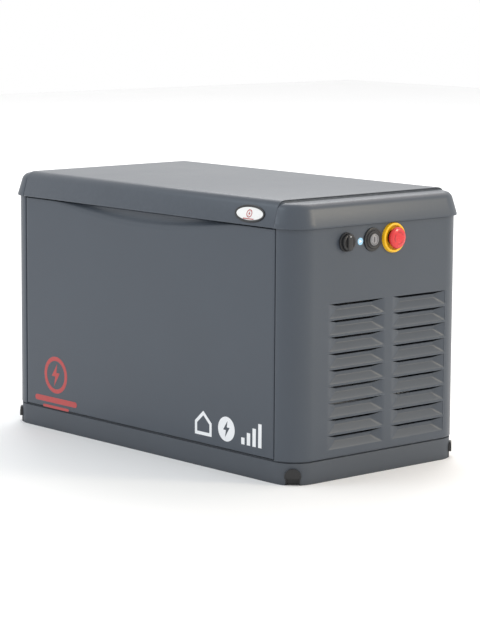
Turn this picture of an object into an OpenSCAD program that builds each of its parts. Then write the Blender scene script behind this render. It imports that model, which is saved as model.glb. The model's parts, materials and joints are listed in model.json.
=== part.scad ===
// Home standby generator: a steel weather enclosure on a composite base, with a
// vertical-shaft V-twin engine and alternator, exhaust bay, battery and controls inside.
// X runs along the length, -Y is the front, +Z is up. The origin is on the ground,
// midway between the four anchor holes.

/* [Enclosure] */
// Overall length, over the roof rim
length = 1218; // [1170:1:1300]
// Overall depth, over the roof rim
width = 638; // [625:1:760]
// Overall height
height = 732; // [700:1:860]
// Height of the base skirt
base_h = 60; // [50:1:80]
// Height of the roof above its rim
roof_h = 70; // [62:1:90]
// How far the roof rim stands out past the panels
rim_over = 8; // [6:0.5:14]
// Radius of the upright corners of the panels
corner_r = 70; // [55:1:90]
// Thickness of the sheet steel panels
sheet = 2; // [1.2:0.1:3]
// Thickness of the moulded roof caps and the roof sheet
roof_t = 3; // [2:0.1:4]
// Open seam between neighbouring panels
seam = 3; // [2:0.5:5]
// How far the base skirt is set in from the panels
base_inset = 1.5; // [1:0.5:4]
// Wall of the composite base
base_t = 4; // [3:0.5:6]

/* [Roof] */
// Upright lip at the foot of the roof skirt
lip_h = 4; // [2:0.5:8]
// Lean of the roof skirt from upright, in degrees
rake = 16.6; // [8:0.1:24]
// Drop of the end caps below the centre section
cap_drop = 7; // [4:0.5:10]
// Radius of the roof's upper edge
crown_r = 27; // [16:1:30]
// Thickness of the foam under the roof
foam_t = 18; // [8:1:24]

/* [Louvres] */
// Rows of louvres in each end panel
louvre_rows = 9; // [4:1:9]
// Distance from one row to the next
louvre_pitch = 43; // [42:0.5:50]
// Height of one louvre
louvre_h = 39; // [32:0.5:39]
// Depth of the pressed pocket
louvre_depth = 12; // [8:0.5:14]
// Width of one louvre
louvre_w = 210; // [160:1:216]
// Space between the two columns
louvre_gap = 20; // [18:1:40]
// Height of the top slit above the ground
louvre_top = 463; // [455:1:480]
// Shift of the louvre field towards the back
louvre_shift = 28; // [0:1:40]

/* [Handgrip] */
// Length of the finger scoop in the front panel
scoop_l = 830; // [500:1:900]
// Height of the finger scoop
scoop_h = 42; // [30:1:60]
// Depth of the finger scoop
scoop_depth = 13; // [9:0.5:14]

/* [Controls on the right end] */
// Height of the row of controls
control_z = 620; // [600:1:625]
// Place of the latch knob along the end
latch_y = -131; // [-150:1:-100]
// Diameter of the latch knob
knob_d = 50; // [36:1:56]
// Place of the key switch along the end
key_y = -36; // [-50:1:-30]
// Diameter of the key switch bezel
key_d = 62; // [50:1:64]
// Place of the emergency stop along the end
stop_y = 39; // [30:1:60]
// Diameter of the emergency stop's yellow ring
stop_ring_d = 80; // [70:1:82]
// Diameter of the emergency stop's red head
stop_head_d = 57; // [40:1:60]
// Travel of the emergency stop
stop_travel = 4; // [2:0.5:5]

/* [Engine and alternator] */
// Place of the crankshaft along the length
engine_x = -250; // [-270:1:-230]
// Place of the crankshaft across the depth
engine_y = 50; // [40:1:60]
// Radius of the alternator can
alternator_r = 110; // [96:1:114]
// Height of the rubber mounts
mount_h = 22; // [16:1:30]
// Radius of the crankshaft
shaft_r = 18; // [14:0.5:20]
// Radius of the flywheel
flywheel_r = 112; // [100:1:114]
// Teeth on the flywheel's ring gear
ring_teeth = 72; // [48:1:96]
// Blades on the flywheel's fan
fan_blades = 12; // [8:1:16]
// Cooling fins on each cylinder
cylinder_fins = 6; // [4:1:7]
// Outer radius of the exhaust pipe
exhaust_r = 14; // [10:0.5:15]
// Radius of the muffler
muffler_r = 80; // [60:1:82]
// Length of the muffler
muffler_l = 380; // [260:1:420]

/* [Electrical] */
// Length of the battery
battery_l = 208; // [180:1:212]
// Depth of the battery
battery_w = 168; // [130:1:169]
// Height of the battery
battery_h = 176; // [150:1:190]
// Radius of the bore in the conduit hub
conduit_bore_r = 13.5; // [9:0.5:15]

/* [Anchors and hinges] */
// Anchor hole spacing along the length
anchor_x = 1000; // [950:1:1040]
// Anchor hole spacing across the depth
anchor_y = 480; // [440:1:500]
// Radius of an anchor hole
anchor_r = 5.5; // [4:0.5:7]
// Place of each roof hinge from the middle
hinge_x = 380; // [250:1:440]
// Radius of a hinge pin
hinge_pin_r = 2; // [1.5:0.1:2.5]

/* [Hidden] */
$fn = 64;
eps = 0.01;
fit = 0.3;             // gap at a seat between two pieces
run_fit = 0.05;        // radial clearance of a turning fit

body_l = length - 2 * rim_over;
body_w = width - 2 * rim_over;
hx = body_l / 2;       // outer face of the end panels
hy = body_w / 2;       // outer face of the front and rear panels
seam_x = hx - corner_r;
z_rim = height - roof_h;
z_sill = base_h + fit; // underside of the panels
z_panel = z_rim + 5;   // top of the end and rear panels, inside the roof skirt
flange = 16;           // inward flange along the top and foot of a panel

base_l = body_l - 2 * base_inset;
base_w = body_w - 2 * base_inset;
base_r = corner_r - base_inset;
ledge = 26;            // width of the hollow wall round the base
shoulder = 6;          // width of the lower step outside the ledge
floor_z = 24;          // top of the base floor
floor_t = 6;
boss_r = 20;

jamb = 18;             // depth of the front opening's return
stop_lip = 20;         // lip that the front panel closes against
door_hx = seam_x - seam;
door_z0 = base_h + seam;
door_z1 = z_rim - seam;

cap_r = corner_r + rim_over;
cap_top = roof_h - cap_drop;

hinge_r = hinge_pin_r + 2;
hinge_y = hy + hinge_r;
hinge_z = z_rim - hinge_r - 2;
hinge_w = 90;
knuckle = 15.5;        // half width of the lid's knuckle

spindle_r = 10;
cam_len = 30;
cam_x = hx - 34;       // outer face of the latch cam
catch_y = latch_y + cam_len + 5;

key_core_r = 11.5;
barrel_r = 15;
plunger_r = 10;
stop_nut = 4;                     // how far the emergency stop's nut stands off the panel
stop_guard = 9;                   // height of the yellow guard ring round its head
stop_x = hx + stop_nut + fit + stop_travel;   // underside of the emergency stop's head

z_mount = floor_z + mount_h;   // underside of the alternator's foot
z_can = z_mount + 10;          // top of the foot
z_adaptor = z_mount + 159;     // top of the alternator can
z_case = z_adaptor + 17;
z_deck = z_case + 138;         // top of the crankcase
case_w = 190;
z_cyl = z_case + 68;           // height of the cylinder axes
fin_w = 110;
cyl_at = 124;                  // foot of each cylinder, measured from the crank axis
head_at = 175;                 // cylinder head, measured from the crank axis
head_l = 47;
z_wheel = z_deck + 12;         // underside of the ring gear
blower_r = 140;
z_blower = z_deck + 72;
starter_y = engine_y + case_w / 2 + 38;
air_z = z_blower + 48;         // underside of the air cleaner
air_l = 240;
air_w = 240;
air_y = engine_y - 80;
mixer_y = engine_y - 170;

pipe_y = engine_y - 200 * sin(45);
pipe_z = z_case - 27;
bulkhead_x = 330;
muffler_x = bulkhead_x + 45 + muffler_r;
muffler_y = -10;

battery_x = 195;
battery_y = -(base_w / 2 - ledge) + 2.5 + battery_w / 2;
tray_t = 4;
box_x1 = bulkhead_x - sheet / 2 - fit;
box_x0 = box_x1 - 218;
box_y0 = -270;
box_z0 = 400;
box_z1 = 600;

dip_x = engine_x - 160;
dip_y = engine_y + 10;
dip_z = z_deck + 110;

inlet_x = 20;
inlet_z = 110;
hub_x = 240;
hub_z = 130;

steel = "#5d6368";
black = "#17181a";
alloy = "#a3a6a8";
plated = "#b9bbb6";

// ---- shared shapes ----

module box(x0, x1, y0, y1, z0, z1)
    translate([x0, y0, z0])
        cube([x1 - x0, y1 - y0, z1 - z0]);

module rod_x(x0, x1, y, z, r)
    translate([x0, y, z])
        rotate([0, 90, 0])
            cylinder(h = x1 - x0, r = r);

module rod_y(y0, y1, x, z, r)
    translate([x, y1, z])
        rotate([90, 0, 0])
            cylinder(h = y1 - y0, r = r);

module rod_z(z0, z1, x, y, r)
    translate([x, y, z0])
        cylinder(h = z1 - z0, r = r);

module rrect(l, w, r) {
    square([l - 2 * r, w], center = true);
    square([l, w - 2 * r], center = true);
    for (sx = [-1, 1], sy = [-1, 1])
        translate([sx * (l / 2 - r), sy * (w / 2 - r)])
            circle(r);
}

module slab(l, w, r, z0, z1)
    translate([0, 0, z0])
        linear_extrude(z1 - z0)
            rrect(l, w, r);

// Extrudes a (Y, Z) outline from x0 to x1.
module along_x(x0, x1)
    translate([x0, 0, 0])
        rotate([90, 0, 90])
            linear_extrude(x1 - x0)
                children();

// Extrudes an (X, Z) outline from y0 to y1.
module along_y(y0, y1)
    translate([0, y1, 0])
        rotate([90, 0, 0])
            linear_extrude(y1 - y0)
                children();

function unit3(v) = v / norm(v);

// A ring of points round p, square to d. The side direction is never parallel to d.
function ring_at(p, d, side, r, n) =
    let (a = unit3(cross(d, side)), b = unit3(cross(d, a)))
    [for (i = [0 : n - 1])
        p + r * cos(360 * i / n) * a + r * sin(360 * i / n) * b];

// A point on the smooth curve through a list of points (Catmull-Rom).
function spline_at(p, i, t) =
    let (m = len(p) - 1,
         a = p[max(i - 1, 0)], b = p[i], c = p[min(i + 1, m)], d = p[min(i + 2, m)])
    0.5 * (2 * b + (c - a) * t + (2 * a - 5 * b + 4 * c - d) * t * t
        + (3 * b - a - 3 * c + d) * t * t * t);

function smooth(p, k) =
    concat([for (i = [0 : len(p) - 2]) for (j = [0 : k - 1]) spline_at(p, i, j / k)],
        [p[len(p) - 1]]);

module hose(route, r, side = [0, 0, 1], n = 8) {
    p = smooth(route, 5);
    m = len(p);
    pts = [for (i = [0 : m - 1])
        each ring_at(p[i], p[min(i + 1, m - 1)] - p[max(i - 1, 0)], side, r, n)];
    sides = [for (i = [0 : m - 2]) for (j = [0 : n - 1])
        each [[i * n + j, (i + 1) * n + (j + 1) % n, i * n + (j + 1) % n],
              [i * n + j, (i + 1) * n + j, (i + 1) * n + (j + 1) % n]]];
    ends = [[for (j = [0 : n - 1]) j], [for (j = [n - 1 : -1 : 0]) (m - 1) * n + j]];
    polyhedron(points = pts, faces = concat(sides, ends));
}

// ---- louvres, pressed in from a wall whose outer face is the plane y = 0 ----

lv_lip = 8;                                      // drop of the free lip below the slit
lv_foot = 24;                                    // run of the lower wall
lv_run = 43;                                     // run of each end wall
lv_end = atan(louvre_depth / lv_run);
lv_low = atan(louvre_depth / lv_foot);

function lv_out(run_angle, d) = (d - sheet / cos(run_angle)) / tan(run_angle);

module louvre_metal(w) {
    d = louvre_depth + sheet;
    intersection() {
        linear_extrude(louvre_h)
            polygon([[lv_out(lv_end, 0), 0], [w - lv_out(lv_end, 0), 0],
                [w - lv_out(lv_end, d), d], [lv_out(lv_end, d), d]]);
        along_x(-50, w + 50)
            polygon([[0, 0], [0, louvre_h], [d, louvre_h - lv_lip],
                [d, lv_out(lv_low, d)], [sheet, lv_out(lv_low, sheet)]]);
    }
}

module louvre_air(w) {
    d = louvre_depth;
    intersection() {
        linear_extrude(louvre_h)
            polygon([[-1 / tan(lv_end), -1], [w + 1 / tan(lv_end), -1],
                [w - lv_run, d], [lv_run, d]]);
        along_x(0, w)
            polygon([[-1, -1 / tan(lv_low)], [-1, louvre_h], [d, louvre_h], [d, lv_foot]]);
    }
}

module louvre_grid(rows, columns) {
    for (row = [0 : rows - 1], column = [0 : columns - 1])
        translate([column * (louvre_w + louvre_gap), 0,
            louvre_top - louvre_h - row * louvre_pitch])
            children();
}

// ---- base ----

module corner_arch(w, top, d0, d1)
    rotate([90, 0, 90])
        translate([0, 0, d0])
            linear_extrude(d1 - d0) {
                translate([-w / 2, 0])
                    square([w, top - w / 2]);
                translate([0, top - w / 2])
                    circle(w / 2);
            }

module at_base_corners()
    for (sx = [-1, 1], sy = [-1, 1])
        translate([sx * (base_l / 2 - base_r), sy * (base_w / 2 - base_r), 0])
            rotate([0, 0, atan2(sy, sx)])
                children();

notch_w = 38;
notch_h = 42;

module base_tray() {
    inner_l = base_l - 2 * ledge;
    inner_w = base_w - 2 * ledge;
    inner_r = base_r - ledge;
    color(steel)
    difference() {
        union() {
            slab(base_l, base_w, base_r, 0, base_h - seam);
            slab(base_l - 2 * shoulder, base_w - 2 * shoulder, base_r - shoulder,
                base_h - seam - eps, base_h);
        }
        difference() {
            slab(base_l - 2 * base_t, base_w - 2 * base_t, base_r - base_t,
                -1, base_h - seam - base_t);
            translate([0, 0, floor_z - floor_t])
                linear_extrude(base_h)
                    rrect(inner_l + 2 * base_t, inner_w + 2 * base_t, inner_r + base_t);
            for (sx = [-1, 1], sy = [-1, 1])
                rod_z(-2, floor_z, sx * anchor_x / 2, sy * anchor_y / 2, boss_r);
            for (sy = [-1, 1])
                box(-base_l / 2 + 30, base_l / 2 - 30, sy * 120 - 3, sy * 120 + 3, 3, floor_z);
            box(-3, 3, -base_w / 2 + 30, base_w / 2 - 30, 3, floor_z);
        }
        slab(inner_l, inner_w, inner_r, floor_z, base_h + 1);
        for (sx = [-1, 1], sy = [-1, 1])
            rod_z(-1, floor_z + 1, sx * anchor_x / 2, sy * anchor_y / 2, anchor_r);
        at_base_corners()
            translate([0, 0, -1])
                corner_arch(notch_w, notch_h + 1, base_r - base_t - 4, base_r + 2);
    }
}

module corner_caps() {
    brow = 5;
    color(black)
    at_base_corners() {
        difference() {
            union() {
                intersection() {
                    corner_arch(notch_w + brow, notch_h + brow / 2, base_r - 6, base_r + 6);
                    box(0, base_r + 10, -50, 50, 18, 60);
                }
                intersection() {
                    corner_arch(notch_w - 2 * fit, notch_h - fit, base_r - 12, base_r);
                    box(0, base_r + 10, -50, 50, 1, 60);
                }
            }
            difference() {
                rod_z(0, 60, 0, 0, base_r + 0.2);
                corner_arch(notch_w - 2 * fit, notch_h - fit, base_r - 12, base_r + 1);
            }
            box(base_r - 8, base_r + 10, -16, 16, 0, 18);
        }
    }
}

// ---- panels ----

module front_panel() {
    w = 2 * door_hx;
    r = (pow(scoop_l / 2, 2) + pow(scoop_h, 2)) / (2 * scoop_h);
    back = -hy + jamb - fit;
    color(steel)
    difference() {
        union() {
            difference() {
                box(-door_hx, door_hx, -hy, back, door_z0, door_z1);
                box(-door_hx + sheet, door_hx - sheet, -hy + sheet, back + 1,
                    door_z0 + sheet, door_z1 - sheet);
            }
            for (sx = [-1, 1])
                box(sx * 400 - 25, sx * 400 + 25, -hy + 8, back, z_sill, door_z0 + sheet);
            intersection() {
                box(-w / 2, w / 2, -hy, back, door_z0, door_z1);
                translate([0, -hy, door_z1 - scoop_h + r])
                    rotate([-90, 0, 0])
                        cylinder(h = scoop_depth + sheet, r1 = r + 1.4 * sheet,
                            r2 = r + 1.4 * sheet - scoop_depth - sheet, $fn = 200);
            }
        }
        intersection() {
            box(-w / 2 + 5, w / 2 - 5, -hy - 1, -hy + scoop_depth, 0, door_z1 + 1);
            translate([0, -hy - 1, door_z1 - scoop_h + r])
                rotate([-90, 0, 0])
                    cylinder(h = scoop_depth + 2, r1 = r + 1, r2 = r - scoop_depth - 1,
                        $fn = 200);
        }
    }
}

// The right end panel's sheet: a channel in plan, with flanges and door jamb, but no holes.
module end_sheet() {
    z_top = z_panel;
    difference() {
        slab(body_l, body_w, corner_r, z_sill, z_top);
        slab(body_l - 2 * sheet, body_w - 2 * sheet, corner_r - sheet,
            z_sill + sheet, z_top - sheet);
        slab(body_l - 2 * flange, body_w - 2 * flange, corner_r - flange,
            z_sill - 1, z_top + 1);
        box(-body_l, seam_x, -body_w, body_w, z_sill - 1, z_top + 1);
    }
    box(seam_x, seam_x + sheet, -hy, -hy + jamb + sheet, z_sill, z_top);
    box(seam_x - stop_lip, seam_x + sheet, -hy + jamb, -hy + jamb + sheet, z_sill, z_top);
    box(seam_x - stop_lip, seam_x + flange, hy - 2 * sheet, hy - sheet, z_sill, z_top);
}

module louvred_end() {
    y0 = louvre_shift - louvre_w - louvre_gap / 2;
    difference() {
        union() {
            end_sheet();
            translate([hx, y0, 0])
                rotate([0, 0, 90])
                    louvre_grid(louvre_rows, 2)
                        louvre_metal(louvre_w);
        }
        translate([hx, y0, 0])
            rotate([0, 0, 90])
                louvre_grid(louvre_rows, 2)
                    louvre_air(louvre_w);
        rod_x(hx - 20, hx + 5, latch_y, control_z, spindle_r + run_fit);
    }
}

module right_end_panel() {
    color(steel)
    difference() {
        louvred_end();
        rod_x(hx - 20, hx + 5, key_y, control_z, barrel_r + fit);
        rod_x(hx - 20, hx + 5, stop_y, control_z, barrel_r + fit);
    }
}

module left_end_panel()
    color(steel)
    mirror([1, 0, 0])
        louvred_end();

rear_cols = 2;
rear_rows = 5;
rear_x0 = engine_x + 240;

module rear_panel() {
    x1 = seam_x - seam / 2;
    color(steel)
    difference() {
        union() {
            difference() {
                box(-x1, x1, hy - flange, hy, z_sill, z_panel);
                box(-x1 - 1, x1 + 1, hy - flange - 1, hy - sheet, z_sill + sheet,
                    z_panel - sheet);
            }
            translate([rear_x0, hy, 0])
                rotate([0, 0, 180])
                    louvre_grid(rear_rows, rear_cols)
                        louvre_metal(louvre_w);
        }
        for (sx = [-1, 1])
            box(min(sx * (seam_x - stop_lip - fit), sx * hx),
                max(sx * (seam_x - stop_lip - fit), sx * hx),
                hy - flange - 1, hy - sheet, z_sill - 1, z_panel + 1);
        translate([rear_x0, hy, 0])
            rotate([0, 0, 180])
                louvre_grid(rear_rows, rear_cols)
                    louvre_air(louvre_w);
        rod_y(hy - 20, hy + 5, inlet_x, inlet_z, 11 + fit);
        rod_y(hy - 20, hy + 5, hub_x, hub_z, 20 + fit);
    }
}

rail_y = -hy + jamb + sheet;
bumper_h = 8;
bumper_x = 450;

module front_rail() {
    z1 = z_rim + 2;
    z0 = z1 - 24;
    end = seam_x + sheet;
    color(steel) {
        difference() {
            box(-end, end, rail_y, rail_y + 20, z0, z1);
            box(-end - 1, end + 1, rail_y + sheet, rail_y + 21, z0 + sheet, z1 - sheet);
        }
        for (sx = [-1, 1])
            rod_z(z1 - eps, z1 + bumper_h, sx * bumper_x, rail_y + 10, 8);
    }
}

// ---- roof ----

// The skirt's outline from the rim to the flat top, at a depth o below the surface.
// u runs inwards from the rim, v up from it.
function crown(top, r, o, steps = 8) =
    let (pv = top - r + r * sin(rake),
         cu = (pv - lip_h) * tan(rake) + r * cos(rake),
         cv = top - r)
    concat([[o, 0], [o, lip_h - o * (1 / cos(rake) - 1) / tan(rake)]],
        [for (i = [0 : steps])
            let (a = 180 - rake - (90 - rake) * i / steps)
            [cu + (r - o) * cos(a), cv + (r - o) * sin(a)]]);

function reversed(p) = [for (i = [len(p) - 1 : -1 : 0]) p[i]];

function skirt_strip(o0, o1, v1) =
    [[o0, 0], [o0, lip_h - o0 * (1 / cos(rake) - 1) / tan(rake)],
        [(v1 - lip_h) * tan(rake) + o0 / cos(rake), v1],
        [(v1 - lip_h) * tan(rake) + o1 / cos(rake), v1],
        [o1, lip_h - o1 * (1 / cos(rake) - 1) / tan(rake)], [o1, 0]];

function from_front(p) = [for (q = p) [-width / 2 + q[0], z_rim + q[1]]];
function from_back(p) = [for (q = p) [width / 2 - q[0], z_rim + q[1]]];

post_x = bumper_x;

module roof_centre() {
    outer = crown(roof_h, crown_r, 0);
    inner = crown(roof_h, crown_r, roof_t);
    end = seam_x - seam / 4;
    color(steel) {
        along_x(-end, end)
            polygon(concat(from_front(outer), reversed(from_back(outer)),
                from_back(inner), reversed(from_front(inner))));
        for (sx = [-1, 1])
            box(sx * post_x - 10, sx * post_x + 10, rail_y + 3, rail_y + 17,
                z_rim + 2 + bumper_h + fit, height - roof_t + eps);
    }
}

// All that lies below a crown's surface, less a depth o, as a (Y, Z) outline.
module crown_area(top, r, o)
    polygon(concat(from_front(crown(top, r, o)), reversed(from_back(crown(top, r, o)))));

module cap_profile(r0) {
    outer = crown(cap_top, crown_r - 3, 0);
    inner = crown(cap_top, crown_r - 3, roof_t);
    polygon(concat([for (q = outer) [r0 - q[0], z_rim + q[1]]],
        [[0, z_rim + cap_top], [0, z_rim + cap_top - roof_t]],
        reversed([for (q = inner) [r0 - q[0], z_rim + q[1]]])));
}

module roof_cap() {
    x0 = seam_x + seam / 4;
    y0 = width / 2 - cap_r;
    rail_z = z_rim + cap_top - roof_t;
    for (sy = [-1, 1])
        translate([length / 2 - cap_r, sy * y0, 0])
            rotate([0, 0, sy > 0 ? 0 : -90])
                rotate_extrude(angle = 90)
                    cap_profile(cap_r);
    translate([length / 2 - cap_r, 0, 0])
        along_y(-y0, y0)
            cap_profile(cap_r);
    along_x(x0 - 26, x0 + 1)
        difference() {
            crown_area(roof_h, crown_r, roof_t + fit);
            crown_area(cap_top, crown_r - 3, roof_t + 2.5);
        }
    box(x0 - 26, x0 + 30, -y0, y0, rail_z, rail_z + roof_t);
    along_x(x0 - 2, x0 + 8) {
        polygon(from_front(skirt_strip(roof_t + fit, roof_t + 2.5, 40)));
        polygon(from_back(skirt_strip(roof_t + fit, roof_t + 2.5, 40)));
    }
    along_x(x0 + 1, x0 + 8) {
        polygon(from_front(skirt_strip(roof_t - 1, roof_t + 1, 38)));
        polygon(from_back(skirt_strip(roof_t - 1, roof_t + 1, 38)));
    }
}

module roof_right_cap()
    color(steel)
    roof_cap();

module roof_left_cap()
    color(steel)
    mirror([1, 0, 0])
        roof_cap();

module roof_insulation()
    color("#303234")
    box(-seam_x + 60, seam_x - 60, -width / 2 + 60, width / 2 - 60,
        height - roof_t - fit - foam_t, height - roof_t - fit);

badge_x = 434;
badge_w = 114;
badge_h = 47;
badge_v = 29;          // height of the badge's centre above the rim

function oval(w, h, n = 48) =
    [for (i = [0 : n - 1]) [w / 2 * cos(360 * i / n), h / 2 * sin(360 * i / n)]];

// Moves to the badge's place on the sloping front skirt, with +Z out of the skirt.
module at_badge()
    translate([badge_x, -width / 2 + (badge_v - lip_h) * tan(rake), z_rim + badge_v])
        rotate([90 - rake, 0, 0])
            children();

module badge()
    at_badge() {
        color(black)
            translate([0, 0, fit / 2])
                difference() {
                    linear_extrude(4)
                        polygon(oval(badge_w, badge_h));
                    translate([0, 0, 2.5])
                        linear_extrude(4)
                            polygon(oval(badge_w - 9, badge_h - 9));
                }
        color("white")
            translate([0, 0, fit / 2 + 2.5])
                linear_extrude(1.8)
                    polygon(oval(badge_w - 9.6, badge_h - 9.6));
    }

// ---- hinges ----

module hinge_barrel(x0, x1)
    difference() {
        rod_x(x0, x1, hinge_y, hinge_z, hinge_r);
        rod_x(x0 - 1, x1 + 1, hinge_y, hinge_z, hinge_pin_r + run_fit);
    }

module hinge_fixed_leaves()
    color(plated)
    for (sx = [-1, 1])
        translate([sx * hinge_x, 0, 0]) {
            box(-hinge_w / 2, hinge_w / 2, hy, hy + 2, hinge_z - 56, hinge_z - hinge_r);
            for (side = [-1, 1])
                difference() {
                    union() {
                        hinge_barrel(side > 0 ? knuckle + 0.5 : -hinge_w / 2,
                            side > 0 ? hinge_w / 2 : -knuckle - 0.5);
                        box(side > 0 ? knuckle + 0.5 : -hinge_w / 2,
                            side > 0 ? hinge_w / 2 : -knuckle - 0.5,
                            hy, hy + 2, hinge_z - hinge_r - 1, hinge_z);
                    }
                    rod_x(-hinge_w, hinge_w, hinge_y, hinge_z, hinge_pin_r + run_fit);
                }
            rod_x(-hinge_w / 2 - 1, hinge_w / 2 + 1, hinge_y, hinge_z, hinge_pin_r);
            for (side = [-1, 1])
                rod_x(side > 0 ? hinge_w / 2 + 1 - eps : -hinge_w / 2 - 3,
                    side > 0 ? hinge_w / 2 + 3 : -hinge_w / 2 - 1 + eps,
                    hinge_y, hinge_z, hinge_pin_r + 1);
            for (x = [-30, 0, 30], z = [-18, -42])
                rod_y(hy + 2 - eps, hy + 4, x, hinge_z + z, 4);
        }

module hinge_lid_leaves()
    color(plated)
    for (sx = [-1, 1])
        translate([sx * hinge_x, 0, 0])
            difference() {
                union() {
                    rod_x(-knuckle, knuckle, hinge_y, hinge_z, hinge_r);
                    box(-knuckle, knuckle, width / 2 - roof_t - 2, width / 2 - roof_t,
                        hinge_z, z_rim + 1);
                    along_x(-hinge_w / 2, hinge_w / 2)
                        polygon(from_back(skirt_strip(roof_t, roof_t + 2, 40)));
                }
                rod_x(-hinge_w, hinge_w, hinge_y, hinge_z, hinge_pin_r + run_fit);
            }

// ---- latches ----

module latch_knob()
    color(black) {
        rod_x(cam_x, hx + 2, latch_y, control_z, spindle_r);
        rod_x(hx + fit, hx + 8, latch_y, control_z, knob_d / 2);
        rod_x(hx + 8 - eps, hx + 16, latch_y, control_z, knob_d / 2 - 3);
        box(hx + 8, hx + 19, latch_y - 6, latch_y + 6, control_z - 20, control_z + 20);
    }

module latch_cam()
    color(plated)
    difference() {
        union() {
            rod_x(cam_x - 3, cam_x + 3, latch_y, control_z, 12);
            box(cam_x - 3, cam_x, latch_y - 6, latch_y + 6, control_z, control_z + cam_len);
        }
        rod_x(cam_x, cam_x + 5, latch_y, control_z, spindle_r);
    }

module latch_catch() {
    x0 = cam_x - 8;
    y0 = catch_y;
    box(x0, x0 + 12, y0, y0 + 4, control_z - 14, z_rim + cap_top - roof_t);
    box(x0, x0 + 12, y0 - 18, y0 + eps, control_z - 14, control_z - 10);
    box(x0 - 8, x0 + 12, y0, y0 + 24, z_rim + cap_top - roof_t - 3, z_rim + cap_top - roof_t);
}

module right_latch_knob()
    latch_knob();

module right_latch_cam()
    latch_cam();

module left_latch_knob()
    mirror([1, 0, 0])
        latch_knob();

module left_latch_cam()
    mirror([1, 0, 0])
        latch_cam();

module latch_catches()
    color(plated) {
        latch_catch();
        mirror([1, 0, 0])
            latch_catch();
    }

// ---- key switch and emergency stop ----

module key_switch_body()
    color(black)
    difference() {
        union() {
            rod_x(hx, hx + 4, key_y, control_z, key_d / 2);
            rod_x(hx + 4 - eps, hx + 8, key_y, control_z, key_d / 2 - 8);
            rod_x(hx - 42, hx + eps, key_y, control_z, barrel_r);
            rod_x(hx - sheet - 8, hx - sheet, key_y, control_z, barrel_r + 7);
        }
        rod_x(hx - 38, hx + 9, key_y, control_z, key_core_r + run_fit);
    }

module key_cylinder()
    color(alloy)
    difference() {
        rod_x(hx - 36, hx + 9, key_y, control_z, key_core_r);
        box(hx + 3, hx + 10, key_y - 1.2, key_y + 1.2, control_z - 7, control_z + 7);
    }

module estop_ring()
    color("#f2b71a")
    translate([hx, stop_y, control_z])
        rotate([0, 90, 0])
            rotate_extrude()
                polygon([[barrel_r + fit, 0], [stop_ring_d / 2, 0],
                    [stop_ring_d / 2 - 1.5, stop_guard],
                    [stop_head_d / 2 + 3, stop_guard], [stop_head_d / 2 + 3, 2],
                    [barrel_r + fit, 2]]);

module estop_housing()
    color(black)
    difference() {
        union() {
            rod_x(hx + 2, hx + stop_nut, stop_y, control_z, 21);
            rod_x(hx - sheet - 10, hx + 3, stop_y, control_z, barrel_r);
            rod_x(hx - sheet - 8, hx - sheet, stop_y, control_z, barrel_r + 7);
            box(hx - 54, hx - sheet - 8, stop_y - 22, stop_y + 22, control_z - 22, control_z + 22);
        }
        rod_x(hx - 44, hx + 12, stop_y, control_z, plunger_r + run_fit);
    }

module estop_plunger()
    color(plated) {
        rod_x(hx - 38, stop_x, stop_y, control_z, plunger_r);
        rod_x(stop_x - eps, stop_x + 12, stop_y, control_z, 6);
    }

module estop_head()
    color("#c8202c")
    difference() {
        union() {
            rod_x(stop_x, stop_x + 10, stop_y, control_z, stop_head_d / 2 - 5);
            translate([stop_x + 5, stop_y, control_z])
                rotate([0, 90, 0])
                    rotate_extrude()
                        polygon(concat([[0, 0], [stop_head_d / 2, 0]],
                            [for (i = [0 : 8])
                                [stop_head_d / 2 - 4 + 4 * cos(90 * i / 8), 4 + 5 * sin(90 * i / 8)]],
                            [[8, 11], [0, 11.5]]));
        }
        rod_x(stop_x - 1, stop_x + 12 + fit, stop_y, control_z, 6 + run_fit);
    }

// ---- alternator ----

module at_engine()
    translate([engine_x, engine_y, 0])
        children();

mount_at = 110;

module engine_mounts()
    color(black)
    at_engine()
        for (sx = [-1, 1], sy = [-1, 1]) {
            rod_z(floor_z, z_mount, sx * mount_at, sy * mount_at, 20);
            rod_z(floor_z, floor_z + 3, sx * mount_at, sy * mount_at, 24);
        }

module alternator_housing()
    color("#3a3d40")
    at_engine()
        difference() {
            union() {
                slab(264, 264, 30, z_mount, z_can);
                rod_z(z_can - eps, z_adaptor, 0, 0, alternator_r);
            }
            rod_z(z_can, z_adaptor + 1, 0, 0, alternator_r - 4);
            rod_z(z_mount - 1, z_can + 1, 0, 0, 12 + run_fit);
            for (i = [0 : 15])
                rotate([0, 0, i * 22.5])
                    box(alternator_r - 10, alternator_r + 5, -8, 8, z_can + 6, z_can + 34);
        }

module alternator_stator() {
    inner = alternator_r - 38;
    color("#6e7073")
    at_engine()
        difference() {
            union() {
                rod_z(z_can + 14, z_can + 132, 0, 0, alternator_r - 4 - run_fit);
                rod_z(z_can, z_can + 146, 0, 0, alternator_r - 12);
            }
            rod_z(z_can - 1, z_can + 150, 0, 0, inner);
        }
}

module alternator_rotor() {
    r = alternator_r - 39;
    color("#8a5a34")
    at_engine()
        difference() {
            union() {
                rod_z(z_can + 22, z_can + 124, 0, 0, r);
                rod_z(z_can + 124 - eps, z_can + 147, 0, 0, shaft_r + 14);
            }
            rod_z(z_can, z_adaptor, 0, 0, shaft_r);
            for (i = [0 : 3])
                rotate([0, 0, i * 90 + 45])
                    box(r - 14, r + 5, -9, 9, z_can + 20, z_can + 123);
        }
}

// ---- engine ----

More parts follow.
